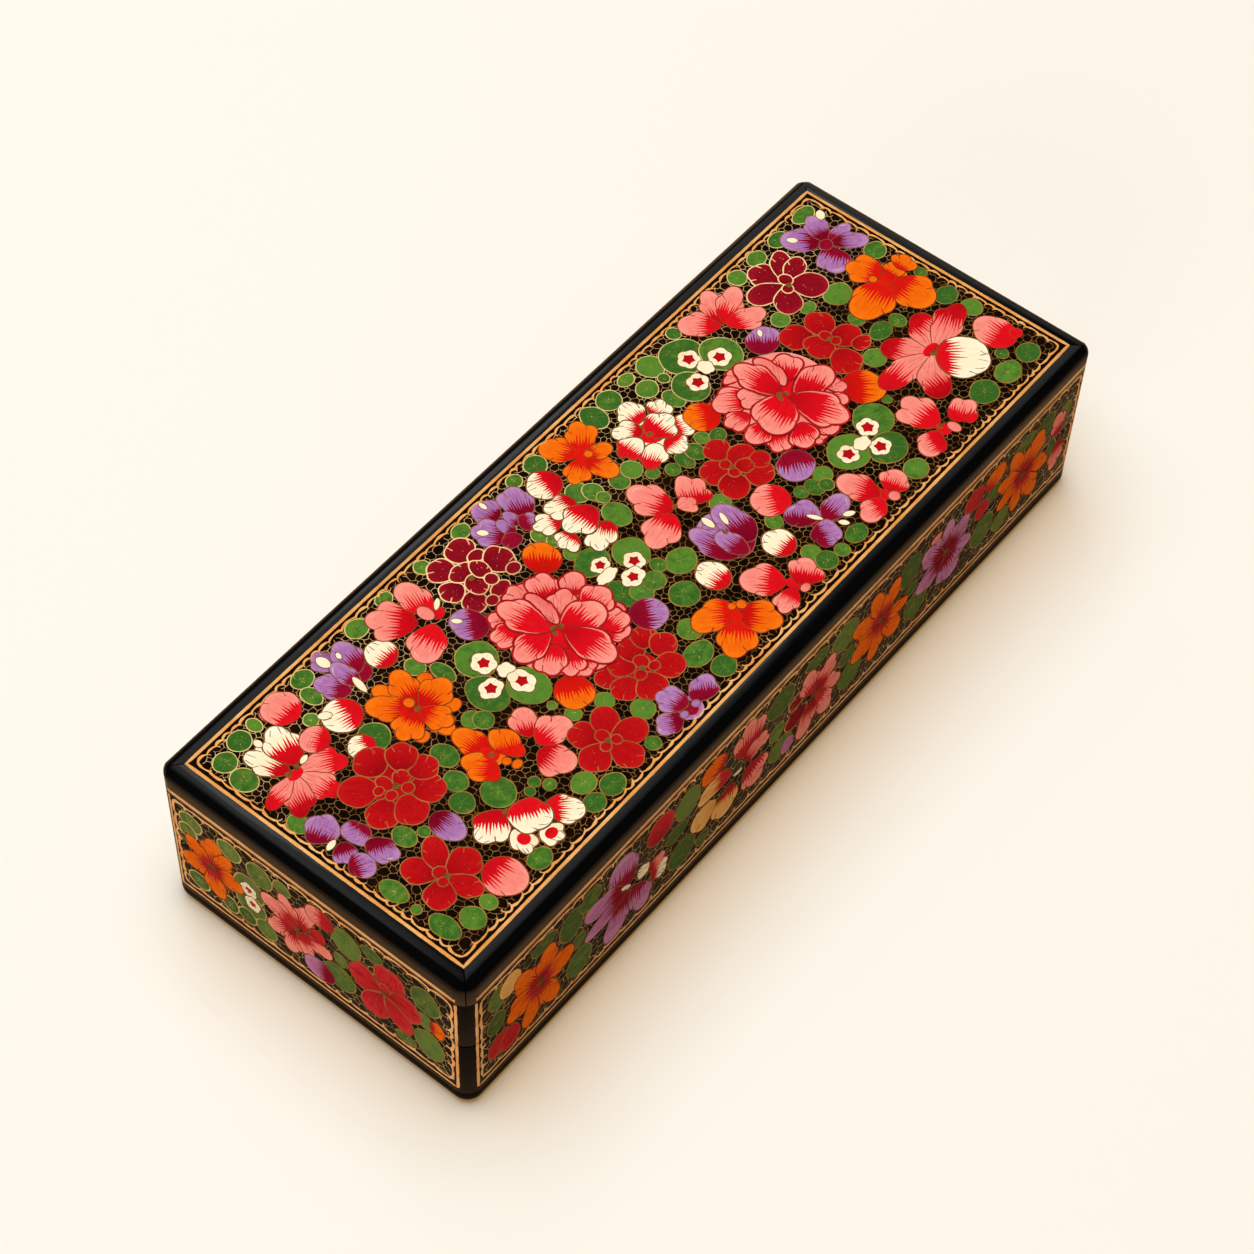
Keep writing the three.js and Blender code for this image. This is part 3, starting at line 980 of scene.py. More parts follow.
def paint_flowers(brush, flowers, grow=petal_growth, burn=1.0):
    """Flowers as a kind, a centre and petals. A petal that names a kind of its own is a detail."""
    for kind, centre, petals in flowers:
        plain = [petal for petal in petals if not isinstance(petal[0], str)]
        pinch, ragged = (open_pinch if len(plain) > 4 else spray_pinch), None
        if len(plain) == 1:
            pinch, ragged = bud_pinch, bud_raggedness
        ring = [math.dist(petal[:2], centre) for petal in plain]
        leans = (Vector(petal[:2]) - Vector(centre) for petal in plain)
        lean = sum(leans, Vector((0, 0))).length / len(ring)
        large = [away for petal, away in zip(plain, ring) if min(petal[2:4]) >= small_petal]
        rooted = len(large) > 3 and max(large) < even_ring * min(large)
        if len(ring) > 4 and lean < lopsided_ring * max(ring) and not rooted:
            for colour, size in zip(petal_kinds[kind][:2], (patch_sizes[0], patch_sizes[1] * burn)):
                if colour:
                    width = size * sorted(ring)[len(ring) // 2]
                    patch = oval(*centre, width, width, 0, 0, 0.1, 24)
                    brush.fill(colour, patch, brush.level(patch), petal_map(*centre, width, width, 90))
        for petal in petals:
            if isinstance(petal[0], str):
                paint_petal(brush, petal[0], centre, *petal[1:], grow=1)
            else:
                paint_petal(brush, kind, centre, *petal, pinch=pinch, ragged=ragged, rooted=rooted,
                            grow=grow * kind_growth.get(kind, 1), burn=burn if kind == "orange" else 1)


# Leaves and florets. Round green leaves with thin veins, and small ragged cream flowers with a
# red star, which sit on the leaves that grow in threes.
leaf_line, vein_line, fleck_line = 0.36, 0.15, 0.24
leaf_pinch, leaf_raggedness, leaf_corners = 0.1, 0.05, 28
bare_leaf, vein_reach = 1.6, 0.72
floret_line, floret_ray = 0.34, 0.16


def paint_leaves(brush, leaves):
    for x, y, half_wide, half_high in leaves:
        outline = oval(x, y, 2 * half_wide, 2 * half_high, -90, leaf_pinch, leaf_raggedness, leaf_corners)
        rise = brush.level(outline)
        rng = random.Random(x * 1.3 + y * 5.9)
        tone = rng.random()
        brush.fill("green", outline, rise, petal_map(x, y, 2 * half_wide, 2 * half_high, -90), tone)
        brush.line("leaf_edge", outline, leaf_line, rise, tone=tone, closed=True)
        if half_wide < bare_leaf:
            continue
        first, count = rng.uniform(0, 2 * math.pi), rng.randint(5, 7)
        for number in range(count):
            angle = first + 2 * math.pi * (number + rng.uniform(-0.25, 0.25)) / count
            tip = (x + math.cos(angle) * half_wide * vein_reach, y + math.sin(angle) * half_high * vein_reach)
            path = [bowed((x, y), tip, share, 0.1) for share in (0.1, 0.5, rng.uniform(0.7, 1))]
            brush.line("leaf_vein", path, vein_line, rise, 0.5 * line_rise, tone)
        for _ in range(rng.randint(2, 5)):
            angle, away = rng.uniform(0, 2 * math.pi), rng.uniform(0, 0.5) * half_wide
            start = (x + math.cos(angle) * away, y + math.sin(angle) * away)
            path = [start, (start[0] + rng.uniform(-0.35, 0.35), start[1] + rng.uniform(-0.35, 0.35))]
            brush.line("fleck", path, fleck_line, rise, tone=tone)


def paint_floret(brush, x, y, wide, high, star):
    """A floret of five petals, with a star if that is given a size."""
    def around(angle, across, up):
        return x + across * math.cos(angle), y + up * math.sin(angle)
    outline = []
    for angle in (math.pi * k / 20 for k in range(40)):
        lobe = 0.93 + 0.16 * (abs(math.cos(2.5 * angle + x)) - 0.5)
        outline.append(around(angle, wide / 2 * lobe, high / 2 * lobe))
    rise, mapped = brush.level(outline), petal_map(x, y, wide, high, 90)
    tone = random.Random(x + y).random()
    brush.fill("cream", outline, rise, mapped, tone)
    brush.line("bronze", outline, floret_line, rise, tone=tone, closed=True)
    if star:
        radii = [star * (1.15 if k % 2 else 0.8) for k in range(10)]
        points = [around(math.pi * k / 5 + tone, radius, radius) for k, radius in enumerate(radii)]
        brush.fill("crimson", points, rise + flame_rise, mapped, tone, rise - 0.5 * flame_rise)
        for k in range(5):
            angle = 0.4 * math.pi * k + tone * 2
            path = [around(angle, star * 1.1, star * 1.1), around(angle, wide * 0.42, high * 0.42)]
            brush.line("bronze", path, floret_ray, rise, 0.5 * line_rise, tone)


# Net and gold lines. A fine net of brown and gold cells fills the ground between the motifs.
# Frames are straight lines, and waves are shallow arcs with a hook inwards where they meet.
net_row, net_jitter, net_bow = 0.87, 0.42, 0.16
net_lines, net_crests = (0.15, 0.27), (0.8, 1.1)
arc_points, arc_fullness, arc_widths, arc_bulges = 7, 0.7, (0.6, 1.4), (0.6, 1.25)
hook_lean, hook_reaches, hook_width, hook_crest = 0.6, (0.6, 1.5), 0.6, 0.9


def paint_net(brush, field, pitch, seed):
    rng = random.Random(seed)
    x0, x1, y0, y1 = field
    columns, rows = round((x1 - x0) / pitch) + 3, round((y1 - y0) / (pitch * net_row)) + 3
    seeds = [Vector((x0 + pitch * (column - 1 + 0.5 * (row % 2) + rng.uniform(-net_jitter, net_jitter)),
                     y0 + pitch * (net_row * (row - 1) + rng.uniform(-net_jitter, net_jitter))))
             for row in range(rows) for column in range(columns)]
    points, _, triangles, *_ = delaunay_2d_cdt(seeds, [], [], 0, 1e-6)
    knots, owners = [], {}
    for number, corners in enumerate(triangles):
        knot = sum((points[corner] for corner in corners[1:]), points[corners[0]]) / 3
        held = (min(max(knot.x, x0), x1), min(max(knot.y, y0), y1))
        masked = any(box[0] < held[0] < box[1] and box[2] < held[1] < box[3] and inside(held, outline)
                     for box, _, outline in brush.covered)
        knots.append((held, x0 < knot.x < x1 and y0 < knot.y < y1, masked))
        for i in range(3):
            owners.setdefault(frozenset((corners[i], corners[i - 1])), []).append(number)
    for pair in owners.values():
        (start, within, masked), (end, also, covered) = knots[pair[0]], knots[pair[-1]]
        if len(pair) < 2 or (masked and covered) or not (within or also):
            continue
        bow = rng.uniform(-net_bow, net_bow)
        path = [start, bowed(start, end, 0.3, bow), bowed(start, end, 0.7, bow), end]
        width, crest = rng.uniform(*net_lines), net_crest * rng.uniform(*net_crests)
        brush.line("net", path, width, 0, crest, rng.random(), 0.2)


def scallops(start, end, count, bulge, hook, seed):
    """A line of shallow arcs between two points, and the hooks where they meet."""
    rng = random.Random(seed)
    origin, ahead = Vector(start), Vector(end) - Vector(start)
    aside = Vector((ahead.y, -ahead.x)).normalized()
    path, hooks, place = [], [], 0.0
    shares = [rng.uniform(*arc_widths) for _ in range(count)]
    for number, share in enumerate(shares):
        width = share / sum(shares)
        lift = bulge * rng.uniform(*arc_bulges)
        for step in range(arc_points):
            s = step / arc_points
            bulged = aside * lift * math.sin(math.pi * s) ** arc_fullness
            path.append(tuple(origin + ahead * (place + width * s) + bulged))
        place += width
        cusp = origin + ahead * place
        if number + 1 < count:
            lean = rng.uniform(-hook_lean, hook_lean)
            tip = cusp - aside * hook * rng.uniform(*hook_reaches) + ahead.normalized() * lean
            hooks.append([tuple(cusp), tuple((cusp + tip) / 2 + ahead.normalized() * lean * 0.3), tuple(tip)])
    return path + [end], hooks


def paint_wave(brush, corners, width, seed, pitch, bulge, hook):
    for number, end in enumerate(corners):
        start = corners[number - 1]
        count = max(2, round(math.dist(start, end) / pitch))
        path, hooks = scallops(start, end, count, bulge, hook, seed + number)
        brush.line("gold", path, width, 0, line_crest, swell=0.22)
        for hooked in hooks:
            brush.line("gold", hooked, width * hook_width, 0, line_crest * hook_crest)


coats = {}
edge_cuts = [seam_gap / 2 + seam_easing * share for share in (0.1, 0.3, 0.6, 1)]
lid_top = {"stem": "lid_top", "body": "lid", "cuts": [-endless, endless]}
below_seam = {"stem": "base_side", "body": "base",
              "cuts": [0] + [(seam_middle - past) / MM for past in reversed(edge_cuts)]}
above_seam = {"stem": "lid_side", "body": "lid",
              "cuts": [(seam_middle + past) / MM for past in edge_cuts] + [endless]}
# On the sides some paints are swapped for copies whose colours are retuned to the light there: painted light
# and shade.
side_swaps = {"green": "side_green", "gold": "side_gold", "leaf_vein": "leaf_edge", "net": "side_net",
              "lavender": "side_lavender", "crimson": "side_crimson", "vermilion": "side_crimson",
              "scarlet": "side_crimson", "plum": "side_plum"}
side_line_weight = 1.4
lid_brush = Brush(Face((0, 0, panel_high.z), (1, 0, 0), (0, 1, 0), None, [lid_top]), {}, 1.0)


def side_brushes(name):
    """Brushes for a side and for the one across from it."""
    half, reach, angle = side_frames[name]
    for turned in (angle, angle + math.pi):
        across = Vector((math.cos(turned), math.sin(turned), 0))
        out = Vector((math.sin(turned), -math.cos(turned), 0))
        face = Face(out * reach, across, (0, 0, 1), half, [below_seam, above_seam])
        yield Brush(face, side_swaps, side_line_weight)


# Leaves of the lid. Round green leaves that fill the places between the flowers, each with a
# dark gold outline and a few touches of yellow at its heart.
lid_leaves = [
    (-113.8, 35.5, 3, 2.9), (-107.3, 37.1, 3.1, 2.9), (-101.8, 37.5, 1.7, 2.2), (-84.9, 37.8, 3.1, 2.6),
    (-87.1, 32.8, 2.2, 3), (-65.6, 37.8, 3.2, 2.7), (-114.5, 28.8, 3.2, 3.6), (-92.2, 28.4, 1.9, 1.9),
    (-65.1, 19.8, 2.5, 2.7), (-62, 13.6, 2.1, 3.6), (-86.3, 13.9, 4, 4), (-115.5, 11.1, 2.3, 3),
    (-79.7, -2.2, 3, 3.7), (-68, -0.5, 2.6, 2.6), (-66.3, -2.6, 2.6, 2.6), (-83.5, -8.8, 2.8, 3.1),
    (-87, -13.8, 3, 3.1), (-102.5, -9.7, 2.6, 3.2), (-98.6, -12.2, 1.5, 1.5), (-114.9, -17.5, 2.5, 3.9),
    (-115.3, -24.5, 1.3, 1.3), (-114.6, -32.4, 2.7, 4.3), (-108.8, -35.7, 3, 3.2),
    (-103.4, -35.7, 2, 2.2), (-87.1, -37.2, 3.3, 2.7), (-79.5, -18.4, 4.2, 4.3),
    (-74.7, -23.8, 1.3, 1.3), (-72, -22.8, 1.5, 1.5), (-70.3, -26, 1.7, 1.6), (-64.9, -31.8, 3.3, 2.9),
    (-67.4, -37.2, 2.9, 2.6), (-60.8, -37.2, 3.5, 2.9), (-54.9, 38.7, 2.4, 2), (-41.7, 38, 2.1, 2.2),
    (-27.3, 38, 2.7, 2.2), (-6.8, 38.2, 2.3, 2), (0.6, 37.5, 3.1, 3), (-15.9, 22.3, 2, 2.4),
    (-15, 18.5, 1.6, 2), (-14.9, 12.8, 2.2, 2.2), (0.5, 23.8, 3.2, 3.2), (3.2, 21, 2.6, 3),
    (3.5, 18, 1.8, 1.8), (1.6, 12.1, 3.4, 4.1), (21.9, 35.9, 3.3, 4.1), (28.7, 36.7, 3.5, 3.3),
    (36.8, 37.7, 2.6, 1.9), (38, 31.7, 3.1, 2.9), (44.3, 35.7, 3.6, 3.8), (43.5, 30.7, 1.6, 1.6),
    (57, 38.2, 2, 2), (39.9, 24.5, 2.5, 3.3), (10.1, 18.2, 2.6, 2.8), (14.9, 18.2, 2.8, 2.9),
    (17.4, 13.4, 1.8, 1.8), (21.6, 10.3, 2, 2), (25.8, 9.8, 2, 2.9), (29.7, 9.6, 2.4, 3),
    (34.3, 11.1, 2, 2), (37.6, 8.6, 2.4, 2.1), (83, 37.5, 2.7, 2.6), (91.7, 37.8, 3, 2.4),
    (100.8, 37.5, 3.3, 2.5), (112.3, 37.8, 3.9, 2.4), (114.4, 15.7, 3.2, 2.9), (95.5, 14, 4.2, 3.5),
    (78.7, 20, 2.7, 2.5), (86.7, 16.9, 2.4, 1.7), (91.7, 5, 2.3, 2.3), (92.5, -2.2, 3.7, 2.6),
    (98.2, -3.4, 2.2, 2.4), (115.7, 1.9, 1.7, 1.7), (84, -6.5, 3.3, 3), (113.6, -8, 3.5, 2.8),
    (114.4, -15.5, 2.9, 3), (106.3, -30.7, 1.7, 1.8), (102.3, -35.5, 4.2, 3.2), (111, -35.7, 3.6, 3),
    (92.8, -34.7, 4.3, 3.7), (61, -36.1, 3.5, 3.1), (74.6, -17.2, 1.3, 1.3), (0.4, -9, 4.4, 3.7),
    (-7, -15.9, 4, 3.8), (20.8, -5.3, 2.9, 2.8), (24.7, -19, 2.3, 2.3), (36.4, -18.6, 1.9, 1.9),
    (40, -20.2, 2.6, 2.7), (44.5, -19.3, 2.6, 2.5), (42.4, -22, 1.9, 1.9), (22.8, -31.9, 2.6, 2.6),
    (23.5, -36.2, 3, 2.8), (28.5, -37.2, 2, 2), (34.9, -36.8, 3.4, 2.5), (-51.4, -17.6, 2.1, 2.1),
    (-43.8, -20.9, 2.4, 2.4), (-52.8, -12.2, 1.2, 1.2), (-14.5, -23.4, 3.1, 3.2),
    (-18.9, -29.5, 4.5, 3.2), (-17.7, -36.3, 3.4, 3), (-39.8, -29.3, 3.1, 3), (-45.9, -37.2, 2, 2)]
lid_trefoils = [
    (-54.1, 9.9, 5.4, 5.3), (-60, 1.5, 4.7, 5.8), (-52, -4.5, 5.1, 5.8), (-16.5, -4.5, 3.5, 4.5),
    (-14, 7.3, 5.1, 4), (-5.5, 1.8, 4.6, 4.9), (-13, -7.5, 3, 3), (-8.5, -7.8, 3, 2.8),
    (-4.2, -5.5, 2, 2.2), (52.2, 31.5, 6.3, 5.9), (45.8, 23.6, 4.8, 5.2), (59.5, 24.5, 5.5, 5.9),
    (54.5, -20, 6, 5.5), (67, -18.4, 5.5, 5.3), (62, -26.8, 5.6, 4.7)]
paint_leaves(lid_brush, lid_leaves + lid_trefoils)


# Florets of the lid. Small cream flowers with a red star, on the leaves that grow in threes.
# Each has its place, its width and height and the size of its star, in millimetres.
lid_florets = [
    (-52, 2.6, 4.6, 4.8, 0), (-53.9, 8, 6.4, 6.8, 1.5), (-58.4, 1.9, 6.8, 5.8, 1.5),
    (-52, -2.3, 6.2, 7.8, 1.5), (-13.4, 5.3, 5.6, 4.6, 1.3), (-14.9, 1.9, 7, 3.6, 0),
    (-7, -0.2, 5.6, 6, 1.4), (-11, -3.1, 7, 5.6, 1.4), (52.6, 29.8, 6.4, 6.2, 1.6),
    (48, 23.2, 6.2, 6, 1.6), (58.3, 24.2, 6.6, 6.4, 1.6), (53.3, 24.8, 4.4, 5, 0),
    (53.8, -20.3, 6, 6, 1.6), (64, -18.8, 6.2, 6, 1.6), (61, -25, 6.2, 5.6, 1.6),
    (58.8, -20.8, 5.4, 4.2, 0)]
for floret in lid_florets:
    paint_floret(lid_brush, *floret)


# Flowers of the lid. Buds, sprays and open flowers in cream, pink, orange, red and lavender.
# Most petals burn red from the root in a fringe of fine strokes.
lid_flowers = [
    ("pink", (-94.3, 31), [(-97.8, 37.2, 3.4, 4.4)]),
    ("pink", (-94.3, 31), [(-94.3, 35.9, 9.2, 9)]),
    ("cream", (-105.5, 21.3), [(-107.5, 28, 7.6, 10.8, -80, 0.28), (-101.8, 28, 8.6, 11.2, -110, 0.45),
     ("bead", -105.1, 33.3, 2.2, 2.2)]),
    ("pink", (-105.5, 21.3), [(-99, 17.8, 8.8, 7.8, -35), (-104.1, 14.4, 7, 9.2, -85),
     (-110.4, 15.4, 6.8, 8, -115), (-112.4, 19.9, 7.4, 4.8, 180), ("spot", -105.8, 20.8, 4.4, 2.6),
     ("bead", -101.5, 22.2, 2.4, 1.8), ("seed", -107, 22, 1.6, 1.6), ("seed", -104.2, 21.9, 1.6, 1.6)]),
    ("pink", (-105.5, 21.3), [(-95.8, 24, 7.2, 6.8, -60, 0.4)]),
    ("lavender", (-77.6, 25.4), [("plum", -74.4, 28.6, 5.6, 6), (-78.2, 37.2, 5.8, 6.2, 0, 0),
     (-73.2, 33.6, 7, 9.8, -100, 0.35), (-82, 30.6, 6.2, 9.2, -60, 0.4),
     (-77.4, 30.6, 5, 8.4, -90, 0.35), ("bead", -78.2, 37.3, 3.2, 3.6), ("bead", -74.4, 35.8, 1.6, 1.8),
     ("bead", -77.4, 26.4, 4.6, 2.2)]),
    ("cream", (-67.5, 24), [(-67.5, 28.4, 7.7, 7.7)]),
    ("cream", (-82, 21), [(-86.6, 23.6, 9.2, 9.4, -20, 0.4), ("bead", -89.3, 26.7, 3, 2.6)]),
    ("orange", (-73.8, 11.1), [(-66.3, 15.7, 4, 3.6, 0, 0), (-67.6, 5.7, 4.2, 3.6, 0, 0),
     (-79, 5.2, 3.6, 3, 0, 0), (-73.2, 3.4, 6.2, 4.6, 0, 0), (-75.2, 18.8, 6.4, 7.6, 0, 0),
     (-71.2, 18, 7.4, 8.6), (-78.6, 17.2, 7.8, 7.8), (-67.1, 11.2, 6.8, 8.6), (-78.8, 9.6, 7.4, 8.2),
     (-72.8, 6.8, 7, 8), ("ember", -76.2, 13, 3.4, 2.6), (-73.9, 14, 2.6, 2.8, 0, 0),
     ("seed", -73.9, 11.3, 1.8, 1.4)]),
    ("cream", (-88, 14), [(-90.2, 14.4, 6.4, 6.2, -30, 0.4)]),
    ("lavender", (-112, 2), [(-113, 5.9, 8, 7.7, 200), (-108.8, -0.5, 5.4, 7.8, 0, 0.35),
     (-114.4, -2.1, 5.6, 5.2, 60, 0.5), (-114.3, -7.3, 6.4, 6.4, 150, 0.35),
     (-108.4, -8, 6.2, 7.9, 60, 0.4), ("bead", -114.9, 1.6, 2.8, 2)]),
    ("red", (-93.4, 1.1), [(-92.2, 9.6, 8.6, 7.4), (-100, 6.5, 8.4, 8.4), (-101, -1.8, 7.6, 7.6),
     (-95.9, -6, 8, 7.6), (-89, -5, 7.6, 7.8), (-85.5, -0.5, 6.6, 6.8), (-86.6, 5.2, 7.2, 7.4),
     (-94.6, 3.4, 3.4, 4.8), (-97, 3, 2.6, 2.4), (-96, 0, 3, 2.6), (-91, 1.5, 4, 4), (-92, -1.6, 3, 3),
     ("seed", -93.4, 0.9, 1.6, 1.8)]),
    ("orange", (-72.8, -10), [(-73, -4.9, 7, 9.4, -90, 0.45), (-76.7, -10.7, 6.8, 9.8, -55, 0.4),
     (-67.9, -10.7, 6, 10, -125, 0.4), ("ember", -72.8, -9.8, 2.6, 4.6),
     ("seed", -72.7, -10.4, 1.4, 1.6), (-71.7, -14.2, 2.2, 2.2, 0, 0), (-70.7, -16.6, 2.8, 2.2, 0, 0)]),
    ("lavender", (-94, -11), [(-94, -15.3, 6.7, 9)]),
    ("red", (-104.7, -23.4), [(-107.3, -18.2, 7.2, 7.6), (-101, -17.5, 5.8, 7.2),
     (-98.9, -24.7, 7.2, 8.2), (-103.4, -28.8, 5.9, 7.8), (-109, -26, 6.8, 8),
     (-104.6, -22.2, 3.4, 3.4), (-106, -24.4, 2.6, 2.4), ("seed", -104.2, -24.1, 1.6, 1.6)]),
    ("pink", (-95.9, -28.4), [(-95.9, -34.1, 9.8, 10.2)]),
    ("cream", (-82.6, -23.4), [(-90.8, -24.4, 2.2, 2.8, 0, 0), (-87.4, -23.3, 9, 8.8, 40, 0.45),
     (-85.9, -31, 5.8, 6.8, 0, 0), ("spot", -85.5, -31, 3.2, 3.4), (-80.3, -34.9, 6.3, 5.2, 0, 0),
     ("spot", -80.2, -34.8, 3.4, 2.8), (-73.2, -32.9, 7.2, 9, 130, 0.4),
     (-79.9, -27.8, 9.8, 9.2, 55, 0.45), ("seed", -82.6, -23, 1.6, 1.4)]),
    ("pink", (-64.7, -16.3), [(-60.8, -10.5, 7, 8), (-58.5, -16.7, 9, 8.7), (-64.2, -22.5, 9.6, 8.5)]),
    ("pink", (-53, 24.5), [("blood", -49.8, 26.2, 4, 3.6), (-58.6, 32.6, 11, 11.2, -55, 0.4),
     (-50.2, 32.6, 7.8, 10.8, -110, 0.4), (-57.8, 22.2, 10.4, 9.8, 15, 0.4),
     (-51.7, 28.2, 3.4, 5, 0, 0), ("bead", -47.8, 28, 3, 1.8)]),
    ("maroon", (-36.3, 26.1), [(-39.5, 33.6, 6.8, 6.4), (-32, 34.2, 7.5, 6.3), (-42.6, 27.5, 5.5, 6),
     (-30.7, 30.3, 4.7, 3.5), (-36.8, 29.4, 6.3, 4.7), (-28, 25.3, 6.7, 8), (-41.3, 21.5, 5.8, 5.8),
     (-34.3, 19.4, 5.8, 3.8), (-27.6, 20.9, 4, 3.4), (-38.3, 18.5, 3.4, 3), (-37.2, 24.6, 4.7, 5.8),
     (-33.2, 26.9, 4, 5.6), (-33.6, 22.8, 3.4, 3.6), ("seed", -36.6, 26.6, 1.6, 1.4)]),
    ("lavender", (-18.5, 25), [(-18.6, 37.1, 7.6, 6.8, -90, 0.25), (-23.1, 32.1, 7.8, 8.6, -60, 0.3),
     (-11.6, 33.2, 7.8, 10, -120, 0.35), (-19.2, 30.4, 3.4, 6, -90, 0.3),
     (-16.2, 31, 3.2, 5.6, -90, 0.3), ("plum", -21.2, 26.6, 5.4, 4.8), (-14.4, 27.2, 5, 5.2, 150, 0.5),
     ("bead", -24.2, 33.6, 2.6, 2.2), ("bead", -17.8, 39, 2.4, 1.6)]),
    ("cream", (1.4, 30), [(-2.9, 31.7, 8.5, 8.6, -20, 0.5)]),
    ("cream", (0, 17.3), [(-11.8, 23.2, 6.4, 6.6, -30), (-5.7, 24, 8, 6.6, -20),
     (-12.6, 16, 5, 7, 0, 0.3), (-5.9, 10.7, 9.8, 6.3, 30), (-5.3, 17.8, 9.2, 9, 0, 0.5)]),
    ("orange", (-24, 13.5), [(-20.8, 17.5, 8.4, 9.5, 220, 0.5)]),
    ("lavender", (-44, 14), [(-47.4, 18, 8, 9.5, -40, 0.5), ("bead", -48.6, 21, 2.4, 1.8)]),
    ("orange", (10.3, 30.3), [(8, 36, 8.5, 8.6), (15.3, 34.8, 5.6, 9.8), (6, 28.2, 7.5, 7),
     (11, 24, 7, 6.7), (15, 27.7, 4, 5.6), ("ember", 10.4, 30.4, 4.4, 4),
     (11.8, 29.6, 2.2, 2.2, 0, 0)]),
    ("cream", (27.4, 21.9), [(28.9, 29.6, 8, 6.7, -100, 0.3), (23.7, 26.5, 7.4, 6.6, -60, 0.3),
     (22, 16.9, 8, 6.6, 200, 0.4), (28.4, 14.8, 7, 5.4, 90, 0.4), (34.6, 25, 5.6, 6.6, 180, 0.3),
     (34.6, 17.2, 6.4, 6.6, 150, 0.3), (20.3, 22.7, 7, 6.6, 180, 0.5), (30.4, 21.6, 8, 8.6, 180, 0.5),
     ("spot", 26.6, 21.6, 3, 2.6), ("seed", 26.6, 21.8, 1.8, 1.6)]),
    ("orange", (43, 12), [(39.7, 15.3, 8.5, 9, -40, 0.5)]),
    ("pink", (12.2, 1.9), [(10.3, 8.2, 9.5, 11.4), (19, 2.5, 7.7, 10, 230), (5, 0.5, 10.6, 9.6),
     (15, 0.8, 4.4, 5.6, 0, 0), ("seed", 12.6, 2.6, 1.6, 1.4)]),
    ("red", (31.6, -0.6), [(33.5, 5.7, 7, 6), (27.8, 1.5, 7.5, 7.5), (35.8, -0.1, 7.5, 7),
     (27.4, -4.5, 7.7, 7.7), (34.5, -7, 7.7, 6.3), (38, -4.2, 5.4, 5), (34, -2.6, 4.4, 4.4),
     (31.2, 1.2, 3, 3), (30.6, -2, 2.8, 3), ("seed", 31.6, -0.5, 1.5, 1.5)]),
    ("pink", (67.3, 29.8), [(63.8, 34.8, 8, 10.6), (71.5, 36, 7.3, 9.8), (76.7, 34.4, 4, 8, 200, 0.3),
     (73, 27, 10.4, 7)]),
    ("maroon", (89.4, 26.3), [(88.2, 31.9, 7.7, 8.7), (95, 32.3, 6.3, 5), (95.9, 28.2, 6, 5.4),
     (82.5, 28.8, 7, 7), (85, 22.3, 7.5, 7.3), (93.2, 21.6, 9, 8), (90.6, 27.4, 3.6, 4),
     (88.4, 25, 3, 3), ("seed", 89.6, 25.6, 1.6, 1.6)]),
    ("lavender", (108, 27), [(104.4, 32.8, 9, 9, -50), (110.7, 32, 6, 8.7, -110),
     (104.6, 22.3, 10.2, 7.3, 20), (114, 26.9, 5.8, 4.2, 180), (113.6, 22.3, 7.3, 5.4, 140),
     ("plum", 107.5, 26.8, 4, 3.6), ("bead", 115.2, 34.4, 3, 3), ("bead", 103, 34.6, 2.6, 2.2)]),
    ("lavender", (66, 15), [(70, 19, 9.4, 8, 220, 0.5), ("bead", 71.4, 21.2, 2.2, 1.6)]),
    ("red", (81.7, 6.5), [(76.5, 13, 8.3, 8), (84, 11.1, 7.5, 8), (77.8, 6.5, 7, 8.3), (85, 3.8, 8, 7),
     (78.2, -1.4, 8.3, 8), (85.7, -0.8, 5.6, 4), (81.6, 7.6, 3, 3.6), (82, 4.6, 2.8, 2.6),
     ("seed", 81.4, 6.2, 1.5, 1.5)]),
    ("orange", (108.6, 7.1), [(109, -0.5, 11.9, 11), (107, 13.6, 9.6, 8.7),
     (111.6, 7.8, 4.6, 5.8, 180, 0.3), (115.5, 7.3, 4.8, 7, 180, 0.2), (99.8, 5.7, 13, 11.4),
     ("ember", 108.2, 7.2, 3.4, 3.6), (105.6, 10, 2.2, 2.2, 0, 0)]),
    ("orange", (72, -7), [(74, -10.1, 10.4, 10.6, 130, 0.5)]),
    ("pink", (95.3, -16.8), [(91, -10.9, 8.3, 11, 110), (99.8, -10.9, 8, 10.6, 80),
     (107, -13.6, 10.2, 8.3, 20), (84.8, -14.9, 13.3, 8, 180), (87.3, -23, 9, 9.2, -110),
     ("spot", 95.3, -16, 5.6, 3)]),
    ("cream", (95.3, -16.8), [(98.6, -23.8, 13.4, 13, 130, 0.25), ("seed", 94.8, -17.2, 2, 1.6)]),
    ("pink", (110.7, -27), [(110.9, -25.2, 9.6, 11.4, -90, 0.45), ("blood", 114.3, -29.6, 3.2, 3.4)]),
    ("pink", (76, -32.6), [("spot", 76, -33.9, 4.2, 4), (76.2, -26.4, 10.4, 11, -90, 0.4),
     (70.4, -34.3, 7.8, 7.8, -25, 0.45), (83.8, -33.9, 7.8, 7.6, 200, 0.45),
     (78.3, -35.5, 2.8, 4, 0, 0), ("blood", 83.6, -37.4, 4, 2), ("seed", 76, -32.6, 1.6, 1.6)]),
    ("lavender", (13, -19.6), [(13.9, -13, 15.2, 13.8, -90, 0.5), (14.2, -10.6, 7, 10.4, -90, 0.3),
     (9.6, -12.4, 7.2, 13, -80, 0.55), (18, -12.2, 8.2, 13, -105, 0.45),
     (12.7, -15.4, 5.8, 8.8, -90, 0.45), ("bead", 13.9, -6.8, 3.6, 2.4), ("bead", 17.4, -9, 3.6, 1.8),
     ("seed", 14.2, -11.8, 1.2, 1.4)]),
    ("cream", (2, -22.5), [(1.9, -17.8, 7.7, 8.7)]),
    ("cream", (20.3, -28.4), [(20.2, -24, 8, 8.2)]),
    ("pink", (32.5, -18), [(29.5, -14.3, 9.6, 9.4, -40, 0.45)]),
